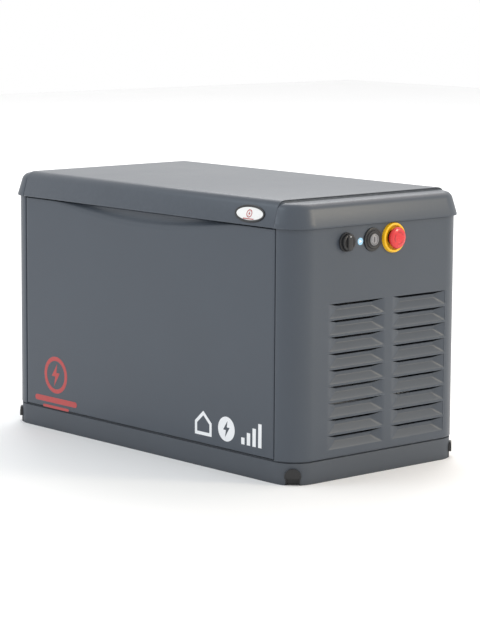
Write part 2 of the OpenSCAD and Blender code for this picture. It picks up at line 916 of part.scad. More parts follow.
module crankshaft()
    color(plated)
    at_engine() {
        z_web = z_case + 40;
        rod_z(z_mount - 4, z_can, 0, 0, 12);
        rod_z(z_can, z_web + 12, 0, 0, shaft_r);
        rod_z(z_web, z_web + 12, 0, -14, 40);
        rod_z(z_web + 12 - eps, z_web + 46, 0, -28, 15);
        rod_z(z_web + 46, z_web + 58, 0, -14, 40);
        rod_z(z_web + 46, z_wheel + 6, 0, 0, shaft_r);
        rod_z(z_wheel + 6 - eps, z_wheel + 62, 0, 0, 10);
    }

module crankcase() {
    bore = shaft_r + run_fit;
    color(alloy) {
        at_engine()
            difference() {
                union() {
                    slab(case_w, case_w, 30, z_case, z_deck);
                    rod_z(z_adaptor, z_case + eps, 0, 0, alternator_r + 4);
                    for (i = [0 : 7])
                        rotate([0, 0, i * 45 + 22.5])
                            rod_z(z_case - eps, z_case + 6, alternator_r - 4, 0, 5);
                    for (a = [-135, -45])
                        translate([0, 0, z_cyl])
                            rotate([0, 0, a])
                                rod_x(60, cyl_at, 0, 0, 54);
                }
                slab(case_w - 18, case_w - 18, 22, z_case + 10, z_deck - 10);
                rod_z(z_adaptor - 1, z_deck + 1, 0, 0, bore);
            }
        difference() {
            union() {
                rod_x(dip_x, engine_x - case_w / 2 + eps, dip_y, z_case + 28, 13);
                rod_z(z_case + 15, dip_z, dip_x, dip_y, 13);
            }
            rod_z(z_case + 20, dip_z + 1, dip_x, dip_y, 9);
        }
    }
}

module at_cylinder(a)
    translate([engine_x, engine_y, z_cyl])
        rotate([0, 0, a])
            children();

module finned(x0, x1, core_r, fins, w, h) {
    pitch = (x1 - x0 - 4) / (fins - 1);
    rod_x(x0, x1, 0, 0, core_r);
    for (i = [0 : fins - 1])
        box(x0 + i * pitch, x0 + i * pitch + 4, -w / 2, w / 2, -h / 2, h / 2);
}

module cylinder_barrel(a)
    color(alloy)
    at_cylinder(a)
        finned(cyl_at, head_at, 48, cylinder_fins, fin_w, fin_w);

module cylinder_head(a)
    color(alloy)
    at_cylinder(a) {
        box(head_at, head_at + head_l, -44, 44, -44, 44);
        for (i = [0 : 3])
            box(head_at + i * 12, head_at + i * 12 + 4, -fin_w / 2, fin_w / 2, -48, 48);
    }

module left_cylinder()
    cylinder_barrel(-135);

module right_cylinder()
    cylinder_barrel(-45);

module left_cylinder_head()
    cylinder_head(-135);

module right_cylinder_head()
    cylinder_head(-45);

module rocker_covers()
    color(black)
    for (a = [-135, -45])
        at_cylinder(a) {
            x = head_at + head_l;
            translate([x, 0, 0])
                rotate([0, 90, 0])
                    linear_extrude(5)
                        rrect(92, 104, 12);
            translate([x, 0, 0])
                rotate([0, 90, 0])
                    linear_extrude(30)
                        rrect(78, 90, 18);
            for (sy = [-1, 1])
                rod_x(x + 30 - eps, x + 35, sy * 28, 0, 6);
        }

module spark_plugs()
    color("white")
    for (a = [-135, -45])
        at_cylinder(a) {
            x = head_at + 22;
            rod_z(48, 54, x, 0, 11);
            rod_z(54 - eps, 78, x, 0, 7);
            rod_z(66, 92, x, 0, 10);
        }

function ring_gear(teeth, r, h) =
    [for (i = [0 : teeth - 1]) each [
        for (k = [0 : 3])
            let (a = 360 * (i + [0, 0.25, 0.5, 0.75][k]) / teeth,
                 q = k < 2 ? r : r + h)
            [q * cos(a), q * sin(a)]]];

module flywheel()
    color("#77797c")
    at_engine()
        difference() {
            union() {
                rod_z(z_wheel - 4, z_wheel + 20, 0, 0, flywheel_r - 4);
                translate([0, 0, z_wheel])
                    linear_extrude(12)
                        polygon(ring_gear(ring_teeth, flywheel_r, 4));
                rod_z(z_wheel + 6, z_wheel + 52, 0, 0, 30);
                for (i = [0 : fan_blades - 1])
                    rotate([0, 0, 360 * i / fan_blades])
                        translate([26, 0, 0])
                            rotate([0, 0, 28])
                                box(0, 68, -2, 2, z_wheel + 20 - eps, z_wheel + 48);
            }
            rod_z(z_wheel - 5, z_wheel + 6, 0, 0, shaft_r);
            rod_z(z_wheel + 5, z_wheel + 70, 0, 0, 10);
        }

module blower_housing() {
    t = 3;
    color("#2a2c2e")
    difference() {
        union() {
            at_engine()
                rod_z(z_deck, z_blower, 0, 0, blower_r);
            for (a = [-135, -45])
                at_cylinder(a)
                    box(80, 170, -fin_w / 2 - 4, fin_w / 2 + 4, fin_w / 2 + 1, fin_w / 2 + 60);
        }
        at_engine() {
            rod_z(z_deck + t, z_blower - t, 0, 0, blower_r - t);
            rod_z(z_deck - 1, z_blower + 1, 0, 0, 75);
        }
        for (a = [-135, -45])
            at_cylinder(a)
                box(90, 170 - t, -fin_w / 2, fin_w / 2, fin_w / 2, fin_w / 2 + 60 - t);
        at_engine()
            slab(case_w + 1, case_w + 1, 30, z_deck - 20, z_deck);
        rod_z(z_deck - 1, z_deck + 12, engine_x, starter_y, 22);
    }
}

module oil_filter() {
    y1 = engine_y - case_w / 2;
    color("#e8e6df")
    difference() {
        union() {
            rod_y(y1 - 14, y1, engine_x, z_case + 26, 18);
            rod_y(y1 - 96, y1 - 14 + eps, engine_x, z_case + 26, 25);
        }
        for (i = [0 : 11])
            translate([engine_x, 0, z_case + 26])
                rotate([0, i * 30, 0])
                    box(24, 27, y1 - 97, y1 - 80, -2, 2);
    }
}

module dipstick()
    color("#e3b21c")
    union() {
        rod_z(dip_z + fit, dip_z + 8, dip_x, dip_y, 15);
        rod_z(dip_z - 20, dip_z + 1, dip_x, dip_y, 9 - fit);
        rod_z(z_case + 24, dip_z, dip_x, dip_y, 3);
        translate([dip_x, dip_y, dip_z + 18])
            rotate([90, 0, 0])
                difference() {
                    cylinder(h = 6, r = 14, center = true);
                    cylinder(h = 8, r = 8, center = true);
                }
    }

starter_r = 35;

module starter_motor()
    color("#2b2d30")
    difference() {
        union() {
            rod_z(z_case + 14, z_deck - 18, engine_x, starter_y, starter_r);
            box(engine_x - 30, engine_x + 30, engine_y + case_w / 2, starter_y + 20,
                z_deck - 18 - eps, z_deck - 10);
            rod_z(z_case + 30, z_deck - 30, engine_x - 50, starter_y + 12, 20);
            box(engine_x - 50, engine_x - 20, starter_y - 8, starter_y + 8,
                z_case + 40, z_deck - 40);
        }
        rod_z(z_case + 100, z_deck, engine_x, starter_y, 7 + run_fit);
    }

module starter_pinion()
    color(plated)
    translate([engine_x, starter_y, 0]) {
        rod_z(z_case + 102, z_deck + 8, 0, 0, 7);
        translate([0, 0, z_deck - 8])
            linear_extrude(14)
                polygon(ring_gear(9, 14, 4));
    }

// ---- air and fuel ----

module at_air()
    translate([engine_x, air_y, 0])
        children();

module air_cleaner_body()
    color(black) {
        at_air()
            difference() {
                slab(air_l, air_w, 24, air_z, air_z + 42);
                slab(air_l - 8, air_w - 8, 20, air_z + 4, air_z + 43);
                rod_z(air_z - 1, air_z + 6, 0, mixer_y - air_y, 20);
            }
        for (sx = [-1, 1], dy = [-78, 30])
            rod_z(z_blower, air_z + eps, engine_x + sx * 84, engine_y + dy, 9);
    }

module air_filter()
    color("#d9cfa8")
    at_air()
        difference() {
            box(-air_l / 2 + 14, air_l / 2 - 14, -air_w / 2 + 14, air_w / 2 - 14,
                air_z + 4 + fit, air_z + 60);
            for (i = [0 : 17])
                box(-air_l / 2 + 22 + i * 11.2, -air_l / 2 + 27 + i * 11.2,
                    -air_w / 2 + 20, air_w / 2 - 20, air_z + 30, air_z + 61);
        }

module air_cleaner_cover()
    color(black)
    at_air() {
        z0 = air_z + 42 + fit;
        difference() {
            union() {
                slab(air_l, air_w, 24, z0, z0 + 46);
                slab(air_l - 40, air_w - 40, 20, z0 + 46 - eps, z0 + 54);
            }
            slab(air_l - 8, air_w - 8, 20, z0 - 1, z0 + 42);
        }
        for (sx = [-1, 1])
            rod_z(z0 + 54 - eps, z0 + 66, sx * 60, 0, 14);
    }

module head_keepout(a)
    at_cylinder(a)
        box(cyl_at - fit, head_at + head_l, -fin_w / 2 - fit, fin_w / 2 + fit, -60, 60);

module intake_manifold()
    color(alloy)
    difference() {
        union() {
            rod_z(z_cyl - 8, z_cyl + 40, engine_x, mixer_y, 24);
            rod_z(z_cyl + 40 - eps, air_z, engine_x, mixer_y, 19);
            rod_z(z_cyl + 70, z_cyl + 112, engine_x, mixer_y, 26);
            rod_x(engine_x - 112, engine_x + 112, mixer_y, z_cyl + 5, 14.5);
        }
        head_keepout(-135);
        head_keepout(-45);
        rod_z(z_cyl, air_z + 1, engine_x, mixer_y, 13);
    }

reg_x = inlet_x;
reg_y = 215;
reg_z = 330;

module fuel_regulator()
    color(alloy) {
        rod_y(reg_y - 26, reg_y - 3, reg_x, reg_z, 58);
        rod_y(reg_y - 3 - eps, reg_y + 3 + eps, reg_x, reg_z, 66);
        rod_y(reg_y + 3, reg_y + 24, reg_x, reg_z, 52);
        rod_z(reg_z - 90, reg_z - 40, reg_x, reg_y, 14);
        box(reg_x - 30, reg_x - 22, reg_y - 15, reg_y + 15, floor_z, reg_z - 40);
        box(reg_x - 30, reg_x + 20, reg_y - 15, reg_y + 15, floor_z, floor_z + 4);
        box(reg_x - 30, reg_x - 10, reg_y - 5, reg_y + 5, reg_z - 80, reg_z - 70);
    }

inlet_r = 10.6;
inlet_end = hy + 34;
fuel_run = [[reg_x - 90, reg_y - 14.5, 330], [-110, 200, 380], [-130, 150, 445], [-95, 60, 452],
    [-92, -60, 450], [-150, -116, 445], [engine_x + 19 + fit, mixer_y, 443]];

module fuel_line() {
    color(plated) {
        rod_y(reg_y, inlet_end, inlet_x, inlet_z, inlet_r);
        rod_y(hy - sheet - 8, hy - sheet, inlet_x, inlet_z, 17);
        rod_y(hy + fit, hy + 6, inlet_x, inlet_z, 17);
        rod_z(inlet_z, reg_z - 90, reg_x, reg_y, 12);
        rod_z(inlet_z + 40, inlet_z + 62, reg_x, reg_y, 17);
        translate([reg_x, reg_y, inlet_z])
            sphere(16);
        rod_x(reg_x - 92, reg_x - 58 - fit, reg_y - 14.5, reg_z, 9.5);
    }
    color(black)
        hose(fuel_run, 8.5, [0.5, 0, 1]);
}

// ---- exhaust ----

module exhaust_path(r, grow) {
    z_port = z_cyl - 48 + grow;
    x_left = engine_x - 200 * cos(45);
    x_right = engine_x + 200 * cos(45);
    rod_z(pipe_z, z_port, x_left, pipe_y, r);
    rod_z(pipe_z, z_port, x_right, pipe_y, r);
    rod_x(x_left, muffler_x - muffler_r + 3 + grow, pipe_y, pipe_z, r + 0.5);
}

module exhaust_pipes() {
    z_port = z_cyl - 48;
    color("#8b8178")
    difference() {
        union() {
            exhaust_path(exhaust_r, 0);
            for (sx = [-1, 1])
                translate([engine_x + sx * 200 * cos(45), pipe_y, 0]) {
                    rotate([0, 0, sx * -45])
                        slab(42, 56, 10, z_port - 6, z_port);
                    translate([0, 0, pipe_z])
                        sphere(exhaust_r + 2.5);
                }
        }
        exhaust_path(exhaust_r - 2, 1);
        rod_y(-1 + muffler_y - muffler_l / 2, muffler_y + muffler_l / 2 + 1,
            muffler_x, muffler_z, muffler_r + fit);
    }
}

muffler_z = pipe_z;
tail_z = muffler_z - 32;

module exhaust_bulkhead()
    color(plated)
    difference() {
        union() {
            box(bulkhead_x - sheet / 2, bulkhead_x + sheet / 2, -265, base_w / 2 - ledge - 2,
                floor_z, z_rim - 7);
            box(bulkhead_x, bulkhead_x + 22, -265, base_w / 2 - ledge - 2, floor_z, floor_z + sheet);
            box(bulkhead_x, bulkhead_x + 22, -265, base_w / 2 - ledge - 2,
                z_rim - 7 - sheet, z_rim - 7);
        }
        rod_x(bulkhead_x - 5, bulkhead_x + 5, pipe_y, pipe_z, exhaust_r + 8);
        for (row = [0 : 3])
            box(bulkhead_x - 5, bulkhead_x + 5, 40, 240, 60 + row * 30, 76 + row * 30);
    }

module muffler() {
    y0 = muffler_y - muffler_l / 2;
    y1 = muffler_y + muffler_l / 2;
    color("#8f8f8c")
    difference() {
        union() {
            rod_y(y0, y1, muffler_x, muffler_z, muffler_r);
            for (y = [y0 + 40, y1 - 52])
                rod_y(y, y + 12, muffler_x, muffler_z, muffler_r + 4);
            for (y = [y0 + 36, y1 - 56])
                box(muffler_x - 40, muffler_x + 40, y, y + 20, floor_z, muffler_z - 50);
            rod_x(muffler_x, muffler_x + muffler_r + 30, muffler_y + 70, tail_z, 20);
        }
        rod_y(y0 + 3, y1 - 3, muffler_x, muffler_z, muffler_r - 3);
        rod_x(muffler_x - muffler_r - 5, muffler_x, pipe_y, pipe_z, exhaust_r - 2);
        rod_x(muffler_x, muffler_x + muffler_r + 31, muffler_y + 70, tail_z, 17);
    }
}

// ---- electrical ----

module battery_holder() {
    x0 = battery_x - battery_l / 2;
    x1 = battery_x + battery_l / 2;
    z1 = floor_z + tray_t + battery_h;
    color(black) {
        difference() {
            box(x0 - 10, x1 + 10, battery_y - battery_w / 2 - 2, battery_y + battery_w / 2 + 2,
                floor_z, floor_z + tray_t + 8);
            box(x0 - fit, x1 + fit, battery_y - battery_w / 2 - fit, battery_y + battery_w / 2 + fit,
                floor_z + tray_t, floor_z + 40);
        }
        box(x0 - 10, x1 + 10, battery_y - 8, battery_y + 8, z1 + fit, z1 + 4);
        for (x = [x0 - 6, x1 + 6])
            rod_z(floor_z + tray_t, z1 + 8, x, battery_y, 3);
    }
}

module battery() {
    z0 = floor_z + tray_t;
    color("#202226")
    translate([battery_x, battery_y, 0]) {
        slab(battery_l, battery_w, 6, z0 + eps, z0 + battery_h - 14);
        slab(battery_l - 6, battery_w - 6, 5, z0 + battery_h - 15, z0 + battery_h);
        for (sx = [-1, 1])
            rod_z(z0 + battery_h - eps, z0 + battery_h + 16, sx * (battery_l / 2 - 30),
                battery_w / 2 - 26, 8);
    }
}

term_x = battery_l / 2 - 30;
term_y = battery_y + battery_w / 2 - 26;
term_z = floor_z + tray_t + battery_h + 16;
plus_run = [[battery_x - term_x, term_y, term_z + 8], [90, term_y + 5, term_z + 34],
    [50, -60, 270], [30, 40, 280], [-20, 140, 286], [-110, 178, 288], [engine_x + starter_r + fit, starter_y, 290]];
minus_run = [[battery_x + term_x, term_y, term_z + 8], [240, term_y + 30, term_z + 30],
    [170, -50, 262], [80, 20, 254], [0, 90, 250], [-80, 104, 250], [engine_x + case_w / 2 + fit, 104, 250]];

module battery_cables() {
    color("#b3261e")
        hose(plus_run, 5);
    color(black)
        hose(minus_run, 5);
    color(plated)
        for (sx = [-1, 1])
            difference() {
                rod_z(term_z - 12, term_z + 4, battery_x + sx * term_x, term_y, 13);
                rod_z(term_z - 13, term_z + fit, battery_x + sx * term_x, term_y, 8 + fit);
            }
}

module connection_box() {
    y1 = hy - sheet - 8;
    color("#54585c") {
        difference() {
            box(hub_x - 85, hub_x + 80, y1 - 130, y1 - 6, 64, 264);
            box(hub_x - 82, hub_x + 77, y1 - 127, y1 - 9, 67, 261);
            rod_y(y1 - 40, y1, hub_x, hub_z, conduit_bore_r);
        }
        box(hub_x - 60, hub_x + 55, y1 - 126.9, y1 - 100, 160, 200);
        box(hub_x - 70, hub_x - 60, y1 - 120, y1 - 20, floor_z, 64 + eps);
        box(hub_x + 55, hub_x + 65, y1 - 120, y1 - 20, floor_z, 64 + eps);
    }
    color(plated)
        difference() {
            union() {
                rod_y(y1 - 8, hy + 14, hub_x, hub_z, 20);
                rod_y(hy, hy + 6, hub_x, hub_z, 27);
            }
            rod_y(y1 - 10, hy + 15, hub_x, hub_z, conduit_bore_r);
        }
}

fascia_t = 4;
switch_x = box_x0 + 45;
breaker_x = box_x1 - 48;
switch_z = box_z0 + 50;
rocker_r = 26;
rocker_y = box_y0 + 14;
toggle_y = box_y0 + 6;
pivot_r = 3;

module control_box()
    color("#26282a")
    difference() {
        union() {
            box(box_x0, box_x1, box_y0, box_y0 + 120, box_z0, box_z1);
            box(box_x0 + 130, box_x1 - 20, box_y0 + 10, box_y0 + 70, box_z0 - 40, box_z0 + eps);
        }
        box(box_x0 + 3, box_x1 - 3, box_y0 - 1, box_y0 + 117, box_z0 + 3, box_z1 - 3);
    }

// A well behind the fascia that holds a switch on a cross pin.
module switch_well(x, w, pin_y) {
    difference() {
        box(x - w - 3, x + w + 3, box_y0 - eps, box_y0 + 36, switch_z - 26, switch_z + 26);
        box(x - w, x + w, box_y0 - 1, box_y0 + 33, switch_z - 23, switch_z + 23);
    }
    rod_x(x - w - 2, x + w + 2, pin_y, switch_z, pivot_r);
}

module control_fascia()
    color("#3b3f43") {
        difference() {
            union() {
                box(box_x0 - 6, box_x1, box_y0 - fascia_t, box_y0, box_z0, box_z1 + 6);
                box(box_x0 + 20, box_x0 + 130, box_y0 - fascia_t - 2, box_y0 - fascia_t + eps,
                    box_z0 + 110, box_z0 + 180);
                for (i = [0 : 3])
                    rod_y(box_y0 - fascia_t - 2, box_y0 - fascia_t + eps,
                        box_x0 + 152 + (i % 2) * 30, box_z0 + 128 + floor(i / 2) * 32, 10);
                box(breaker_x - 22, breaker_x + 22, box_y0 - fascia_t - 6, box_y0,
                    switch_z - 36, switch_z + 36);
            }
            box(switch_x - 13, switch_x + 13, box_y0 - 20, box_y0 + 1,
                switch_z - 23, switch_z + 23);
            box(breaker_x - 8, breaker_x + 8, box_y0 - 20, box_y0 + 1,
                switch_z - 23, switch_z + 23);
        }
        switch_well(switch_x, 13, rocker_y);
        switch_well(breaker_x, 8, toggle_y);
    }

module mode_switch()
    color(black)
    difference() {
        intersection() {
            rod_x(switch_x - 12.5, switch_x + 12.5, rocker_y, switch_z, rocker_r);
            box(switch_x - 12.5, switch_x + 12.5, box_y0 - 16, box_y0 + 20,
                switch_z - 17, switch_z + 17);
        }
        rod_x(switch_x - 13, switch_x + 13, box_y0 - 26, switch_z, 18);
        rod_x(switch_x - 13, switch_x + 13, rocker_y, switch_z, pivot_r + run_fit);
    }

module breaker_toggle()
    color(black)
    difference() {
        union() {
            rod_x(breaker_x - 7.5, breaker_x + 7.5, toggle_y, switch_z, 11);
            translate([0, toggle_y, switch_z])
                rotate([-22, 0, 0])
                    box(breaker_x - 6, breaker_x + 6, -26, 0, -5, 5);
        }
        rod_x(breaker_x - 8, breaker_x + 8, toggle_y, switch_z, pivot_r + run_fit);
    }

base_tray();
corner_caps();
front_panel();
left_end_panel();
right_end_panel();
rear_panel();
front_rail();
roof_centre();
roof_left_cap();
roof_right_cap();
roof_insulation();
badge();
hinge_fixed_leaves();
hinge_lid_leaves();
right_latch_knob();
right_latch_cam();
left_latch_knob();
left_latch_cam();
latch_catches();
key_switch_body();
key_cylinder();
estop_ring();
estop_head();
estop_plunger();
estop_housing();
crankcase();
left_cylinder();
right_cylinder();
left_cylinder_head();
right_cylinder_head();
rocker_covers();
spark_plugs();
crankshaft();
flywheel();
blower_housing();
oil_filter();
dipstick();
starter_motor();
starter_pinion();
air_cleaner_body();
air_filter();
air_cleaner_cover();
intake_manifold();
fuel_regulator();
fuel_line();
alternator_housing();
alternator_stator();
alternator_rotor();
engine_mounts();
exhaust_pipes();
exhaust_bulkhead();
muffler();
battery_holder();
battery();
battery_cables();
connection_box();
control_box();
control_fascia();
mode_switch();
breaker_toggle();
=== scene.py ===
"""Home standby generator: the finished model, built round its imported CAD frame.

Lengths are in metres. X runs along the set, -Y is the front and +Z is up.
"""

import json
import math

import bmesh
import bpy
import numpy as np
from bpy.props import FloatProperty, FloatVectorProperty, IntProperty, PointerProperty
from mathutils import Matrix, Vector


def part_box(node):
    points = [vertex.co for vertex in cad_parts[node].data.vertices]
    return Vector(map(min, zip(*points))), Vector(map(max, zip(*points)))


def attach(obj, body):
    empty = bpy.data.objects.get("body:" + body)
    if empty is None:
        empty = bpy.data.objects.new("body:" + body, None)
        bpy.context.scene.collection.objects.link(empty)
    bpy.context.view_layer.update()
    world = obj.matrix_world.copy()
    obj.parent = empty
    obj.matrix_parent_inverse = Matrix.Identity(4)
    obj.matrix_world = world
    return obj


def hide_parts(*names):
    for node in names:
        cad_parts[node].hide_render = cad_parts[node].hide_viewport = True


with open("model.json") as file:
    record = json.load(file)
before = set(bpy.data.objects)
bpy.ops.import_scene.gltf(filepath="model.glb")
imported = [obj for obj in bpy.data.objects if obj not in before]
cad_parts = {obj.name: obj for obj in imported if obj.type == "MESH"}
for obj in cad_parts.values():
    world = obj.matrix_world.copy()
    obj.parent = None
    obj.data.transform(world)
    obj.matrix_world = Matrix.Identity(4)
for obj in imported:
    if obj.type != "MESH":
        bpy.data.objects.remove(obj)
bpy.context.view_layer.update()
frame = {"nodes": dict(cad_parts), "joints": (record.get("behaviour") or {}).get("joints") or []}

bl_info = {
    "name": "Home standby generator",
    "version": (1, 0, 0),
    "blender": (4, 5, 0),
    "location": "3D View > Sidebar > Generator",
    "description": "Builds a louvred standby generator set round its CAD frame",
    "category": "Add Mesh",
}

STEEL = 0.002  # thickness of the enclosure's sheet
PROUD = 0.0002  # how far a printed mark stands off its panel
RAKE = 16.6  # lean of the roof skirt from upright, in degrees
GAS_INLET = (0.02, 0.110)  # x and z of the gas pipe through the rear panel
CONDUIT_HUB = (0.24, 0.130)  # x and z of the wiring hub through the rear panel
REGULATOR = (0.020, 0.2005, 0.330)  # middle of the gas regulator's outlet


# ---------------------------------------------------------------- sizes and colours


def length(label, text, default, low=0.0):
    return FloatProperty(name=label, description=text, default=default, min=low, subtype="DISTANCE",
                         unit="LENGTH", precision=4)


def colour(label, text, default):
    return FloatVectorProperty(name=label, description=text, default=default, min=0, max=1, size=3,
                               subtype="COLOR")


class GeneratorPanelSizes(bpy.types.PropertyGroup):
    """Sizes of the enclosure's pressed sheet panels."""

    corner: length("Corner radius", "Radius of the upright corners", 0.070)
    bend: length("Bend radius", "Radius where the sheet is folded", 0.0025)
    jamb: length("Jamb depth", "Depth of the front opening's return", 0.018)
    lip: length("Stop lip", "Width of the lip the front panel closes on", 0.020)
    flange: length("Flange", "Width of the flange along the top and foot", 0.015)
    louvre_rows: IntProperty(name="Louvre rows", description="Rows in each end panel", default=9, min=1)
    rear_rows: IntProperty(name="Rear louvre rows", description="Rows in the rear panel", default=5, min=1)
    louvre_pitch: length("Louvre pitch", "Distance from one row to the next", 0.043)
    louvre_height: length("Louvre height", "Height of one louvre", 0.039)
    louvre_width: length("Louvre width", "Width of one louvre", 0.210)
    louvre_depth: length("Louvre depth", "How far a louvre is pressed in", 0.012)
    louvre_run: length("End run", "Length of a louvre's sloping end", 0.043)
    louvre_foot: length("Face height", "Height of a louvre's sloping face", 0.024)
    louvre_lip: length("Slit", "Height of the slit over a louvre", 0.008)
    louvre_gap: length("Column gap", "Space between two columns", 0.020)
    louvre_top: length("Top slit", "Height of the uppermost slit", 0.463)
    louvre_shift: length("Shift", "Shift of the end louvres towards the back", 0.028)
    scoop_length: length("Scoop length", "Length of the finger scoop", 0.830)
    scoop_height: length("Scoop height", "Height of the finger scoop", 0.042)
    scoop_depth: length("Scoop depth", "Depth of the finger scoop", 0.0125)
    scoop_run: length("Scoop run", "Width of the scoop's sloping edge", 0.030)


class GeneratorDetailSizes(bpy.types.PropertyGroup):
    """Sizes of small parts and repeated fastenings."""

    bolt_radius: length("Bolt head", "Radius of a hexagon head", 0.006)
    screw_radius: length("Screw head", "Radius of a small screw's head", 0.0035)
    cable_radius: length("Cable radius", "Radius of a battery cable", 0.005)
    hose_radius: length("Hose radius", "Radius of the gas hose", 0.0085)
    foam_peak: length("Foam peak", "Height of the foam's waves", 0.006)
    foam_pitch: length("Foam pitch", "Distance between the foam's waves", 0.038)


class GeneratorColours(bpy.types.PropertyGroup):
    """Colours of the finishes, as scene-linear values."""

    paint: colour("Panel paint", "Powder coat on the panels", (0.054, 0.066, 0.084))
    base: colour("Base", "Moulded composite base", (0.058, 0.068, 0.083))
    red: colour("Red", "Emergency stop and painted marks", (0.62, 0.018, 0.022))
    yellow: colour("Yellow", "Emergency stop ring", (0.88, 0.50, 0.012))
    mark_red: colour("Mark red", "Printed marks", (0.40, 0.012, 0.012))


def sizes():
    return bpy.context.scene.generator_panels


def details():
    return bpy.context.scene.generator_details


def tints():
    return bpy.context.scene.generator_colours


# ---------------------------------------------------------------- node trees as expressions


class Value:
    """A node's output, so that node maths reads as Python."""

    def __init__(self, graph, socket):
        self.graph, self.socket = graph, socket

    def math(self, operation, *terms):
        return self.graph.node("ShaderNodeMath", {"operation": operation}, dict(enumerate(terms)))

    def __add__(self, other):
        return self.math("ADD", self, other)

    def __sub__(self, other):
        return self.math("SUBTRACT", self, other)

    def __rsub__(self, other):
        return self.math("SUBTRACT", other, self)

    def __mul__(self, other):
        return self.math("MULTIPLY", self, other)

    __radd__, __rmul__ = __add__, __mul__

    def sine(self):
        return self.math("SINE", self)

    def ramp(self, start, end):
        """0 at start and below, 1 at end and above, smooth between."""
        return self.graph.node("ShaderNodeMapRange", {"interpolation_type": "SMOOTHSTEP"},
                               {0: self, 1: start, 2: end})


class Graph:
    """Adds nodes to one tree."""

    def __init__(self, tree):
        self.tree = tree

    def node(self, kind, settings=None, inputs=None, out=0):
        """One node: its settings first, then its inputs by index or name. Returns one output."""
        made = self.tree.nodes.new(kind)
        for key, value in (settings or {}).items():
            if key == "stops":
                self.set_stops(made.color_ramp, value)
            else:
                setattr(made, key, value)
        for key, value in (inputs or {}).items():
            if isinstance(value, Value):
                self.tree.links.new(value.socket, made.inputs[key])
            else:
                made.inputs[key].default_value = value
        return Value(self, made.outputs[out])

    @staticmethod
    def set_stops(ramp, stops):
        first, last = ramp.elements[0], ramp.elements[1]
        first.position, first.color = stops[0]
        last.position, last.color = stops[-1]
        for place, tint in stops[1:-1]:
            ramp.elements.new(place).color = tint


class Finish(Graph):
    """A material on a Principled shader, patterned on Object coordinates."""

    def __init__(self, name, tint, roughness, **fixed):
        self.material = bpy.data.materials.new(name)
        self.material.use_nodes = True
        super().__init__(self.material.node_tree)
        self.tree.nodes.clear()
        self.shader = self.tree.nodes.new("ShaderNodeBsdfPrincipled")
        output = self.tree.nodes.new("ShaderNodeOutputMaterial")
        self.tree.links.new(self.shader.outputs[0], output.inputs[0])
        self.at = self.node("ShaderNodeTexCoord", out="Object")
        self.tint = (*tint, 1.0)
        self.shader.inputs["Base Color"].default_value = self.tint
        self.shader.inputs["Roughness"].default_value = roughness
        for key, value in fixed.items():
            self.shader.inputs[key.replace("_", " ")].default_value = value

    def place(self, scale=(1, 1, 1), turn=(0, 0, 0)):
        return self.node("ShaderNodeMapping", None, {"Vector": self.at, "Scale": scale, "Rotation": turn})

    def noise(self, scale, detail=2.0, rough=0.5, at=None):
        return self.node("ShaderNodeTexNoise", None,
                         {"Vector": at or self.at, "Scale": scale, "Detail": detail, "Roughness": rough})

    def cells(self, scale, at=None, feature="F1"):
        return self.node("ShaderNodeTexVoronoi", {"feature": feature}, {"Vector": at or self.at, "Scale": scale})

    def axis(self, letter):
        return self.node("ShaderNodeSeparateXYZ", None, {0: self.at}, out=letter)

    def edges(self, start=0.52, end=0.60):
        """1 along outward edges and 0 elsewhere."""
        return self.node("ShaderNodeNewGeometry", out="Pointiness").ramp(start, end)

    def mixed(self, factor, a, b):
        return self.node("ShaderNodeMix", {"data_type": "RGBA"}, {0: factor, 6: a, 7: b}, out=2)

    def shade(self, factor, tint=None, dark=0.85, light=1.12):
        """The tint, darker where factor is 0 and lighter where it is 1."""
        tint = tint or self.tint
        low = tuple(min(1.0, c * dark) for c in tint[:3]) + (1.0,)
        high = tuple(min(1.0, c * light) for c in tint[:3]) + (1.0,)
        return self.mixed(factor, low, high)

    def feed(self, **links):
        for key, value in links.items():
            self.tree.links.new(value.socket, self.shader.inputs[key.replace("_", " ")])

    def bump(self, height, depth, strength=1.0):
        """Raises the surface by height times depth, in metres."""
        made = self.node("ShaderNodeBump", None, {"Strength": strength, "Distance": depth, "Height": height})
        self.feed(Normal=made)


def powder_coat(name, tint, roughness=0.38):
    """Fine-textured powder coat on steel: a tight orange peel with a faint cloudiness."""
    f = Finish(name, tint, roughness, IOR=1.48)
    cloud = f.noise(5.0, 3.0, 0.55)
    speck = f.noise(520.0, 2.0)
    rub = f.edges() * f.noise(70.0, 4.0, 0.6).ramp(0.42, 0.62)
    toned = f.shade(cloud * 0.7 + speck * 0.3, dark=0.90, light=1.10)
    pale = tuple(min(1.0, c * 1.55 + 0.02) for c in tint) + (1.0,)
    f.feed(Base_Color=f.mixed(rub * 0.45, toned, pale), Roughness=cloud * 0.08 + speck * 0.10 + (roughness - 0.08))
    f.bump(f.noise(620.0, 3.0, 0.55) + f.noise(150.0, 2.0) * 0.8, 0.00022, 0.55)
    return f.material


def moulded_composite(name, tint):
    """Glass-filled composite with a pebbled, slightly chalky skin."""
    f = Finish(name, tint, 0.62)
    pebble = f.cells(330.0)
    cloud = f.noise(9.0, 4.0, 0.6)
    # darker over the lowest 18 mm, towards the floor
    foot = f.axis("Z").ramp(0.0, 0.018)
    toned = f.shade(cloud, dark=0.86, light=1.12)
    f.feed(Base_Color=f.mixed(foot, f.shade(cloud, dark=0.70, light=0.95), toned), Roughness=cloud * 0.16 + 0.50)
    f.bump(pebble * 0.6 + f.noise(500.0, 2.0) * 0.4, 0.0003, 0.5)
    return f.material


def moulded_plastic(name, tint, roughness=0.38, grain=420.0, **fixed):
    """Injection-moulded plastic with a fine spark-eroded grain."""
    f = Finish(name, tint, roughness, **fixed)
    cloud = f.noise(22.0, 3.0)
    f.feed(Base_Color=f.shade(cloud, dark=0.88, light=1.14), Roughness=cloud * 0.12 + (roughness - 0.06))
    f.bump(f.cells(grain * 1.7) * 0.5 + f.noise(grain, 2.0) * 0.5, 0.00012, 0.5)
    return f.material


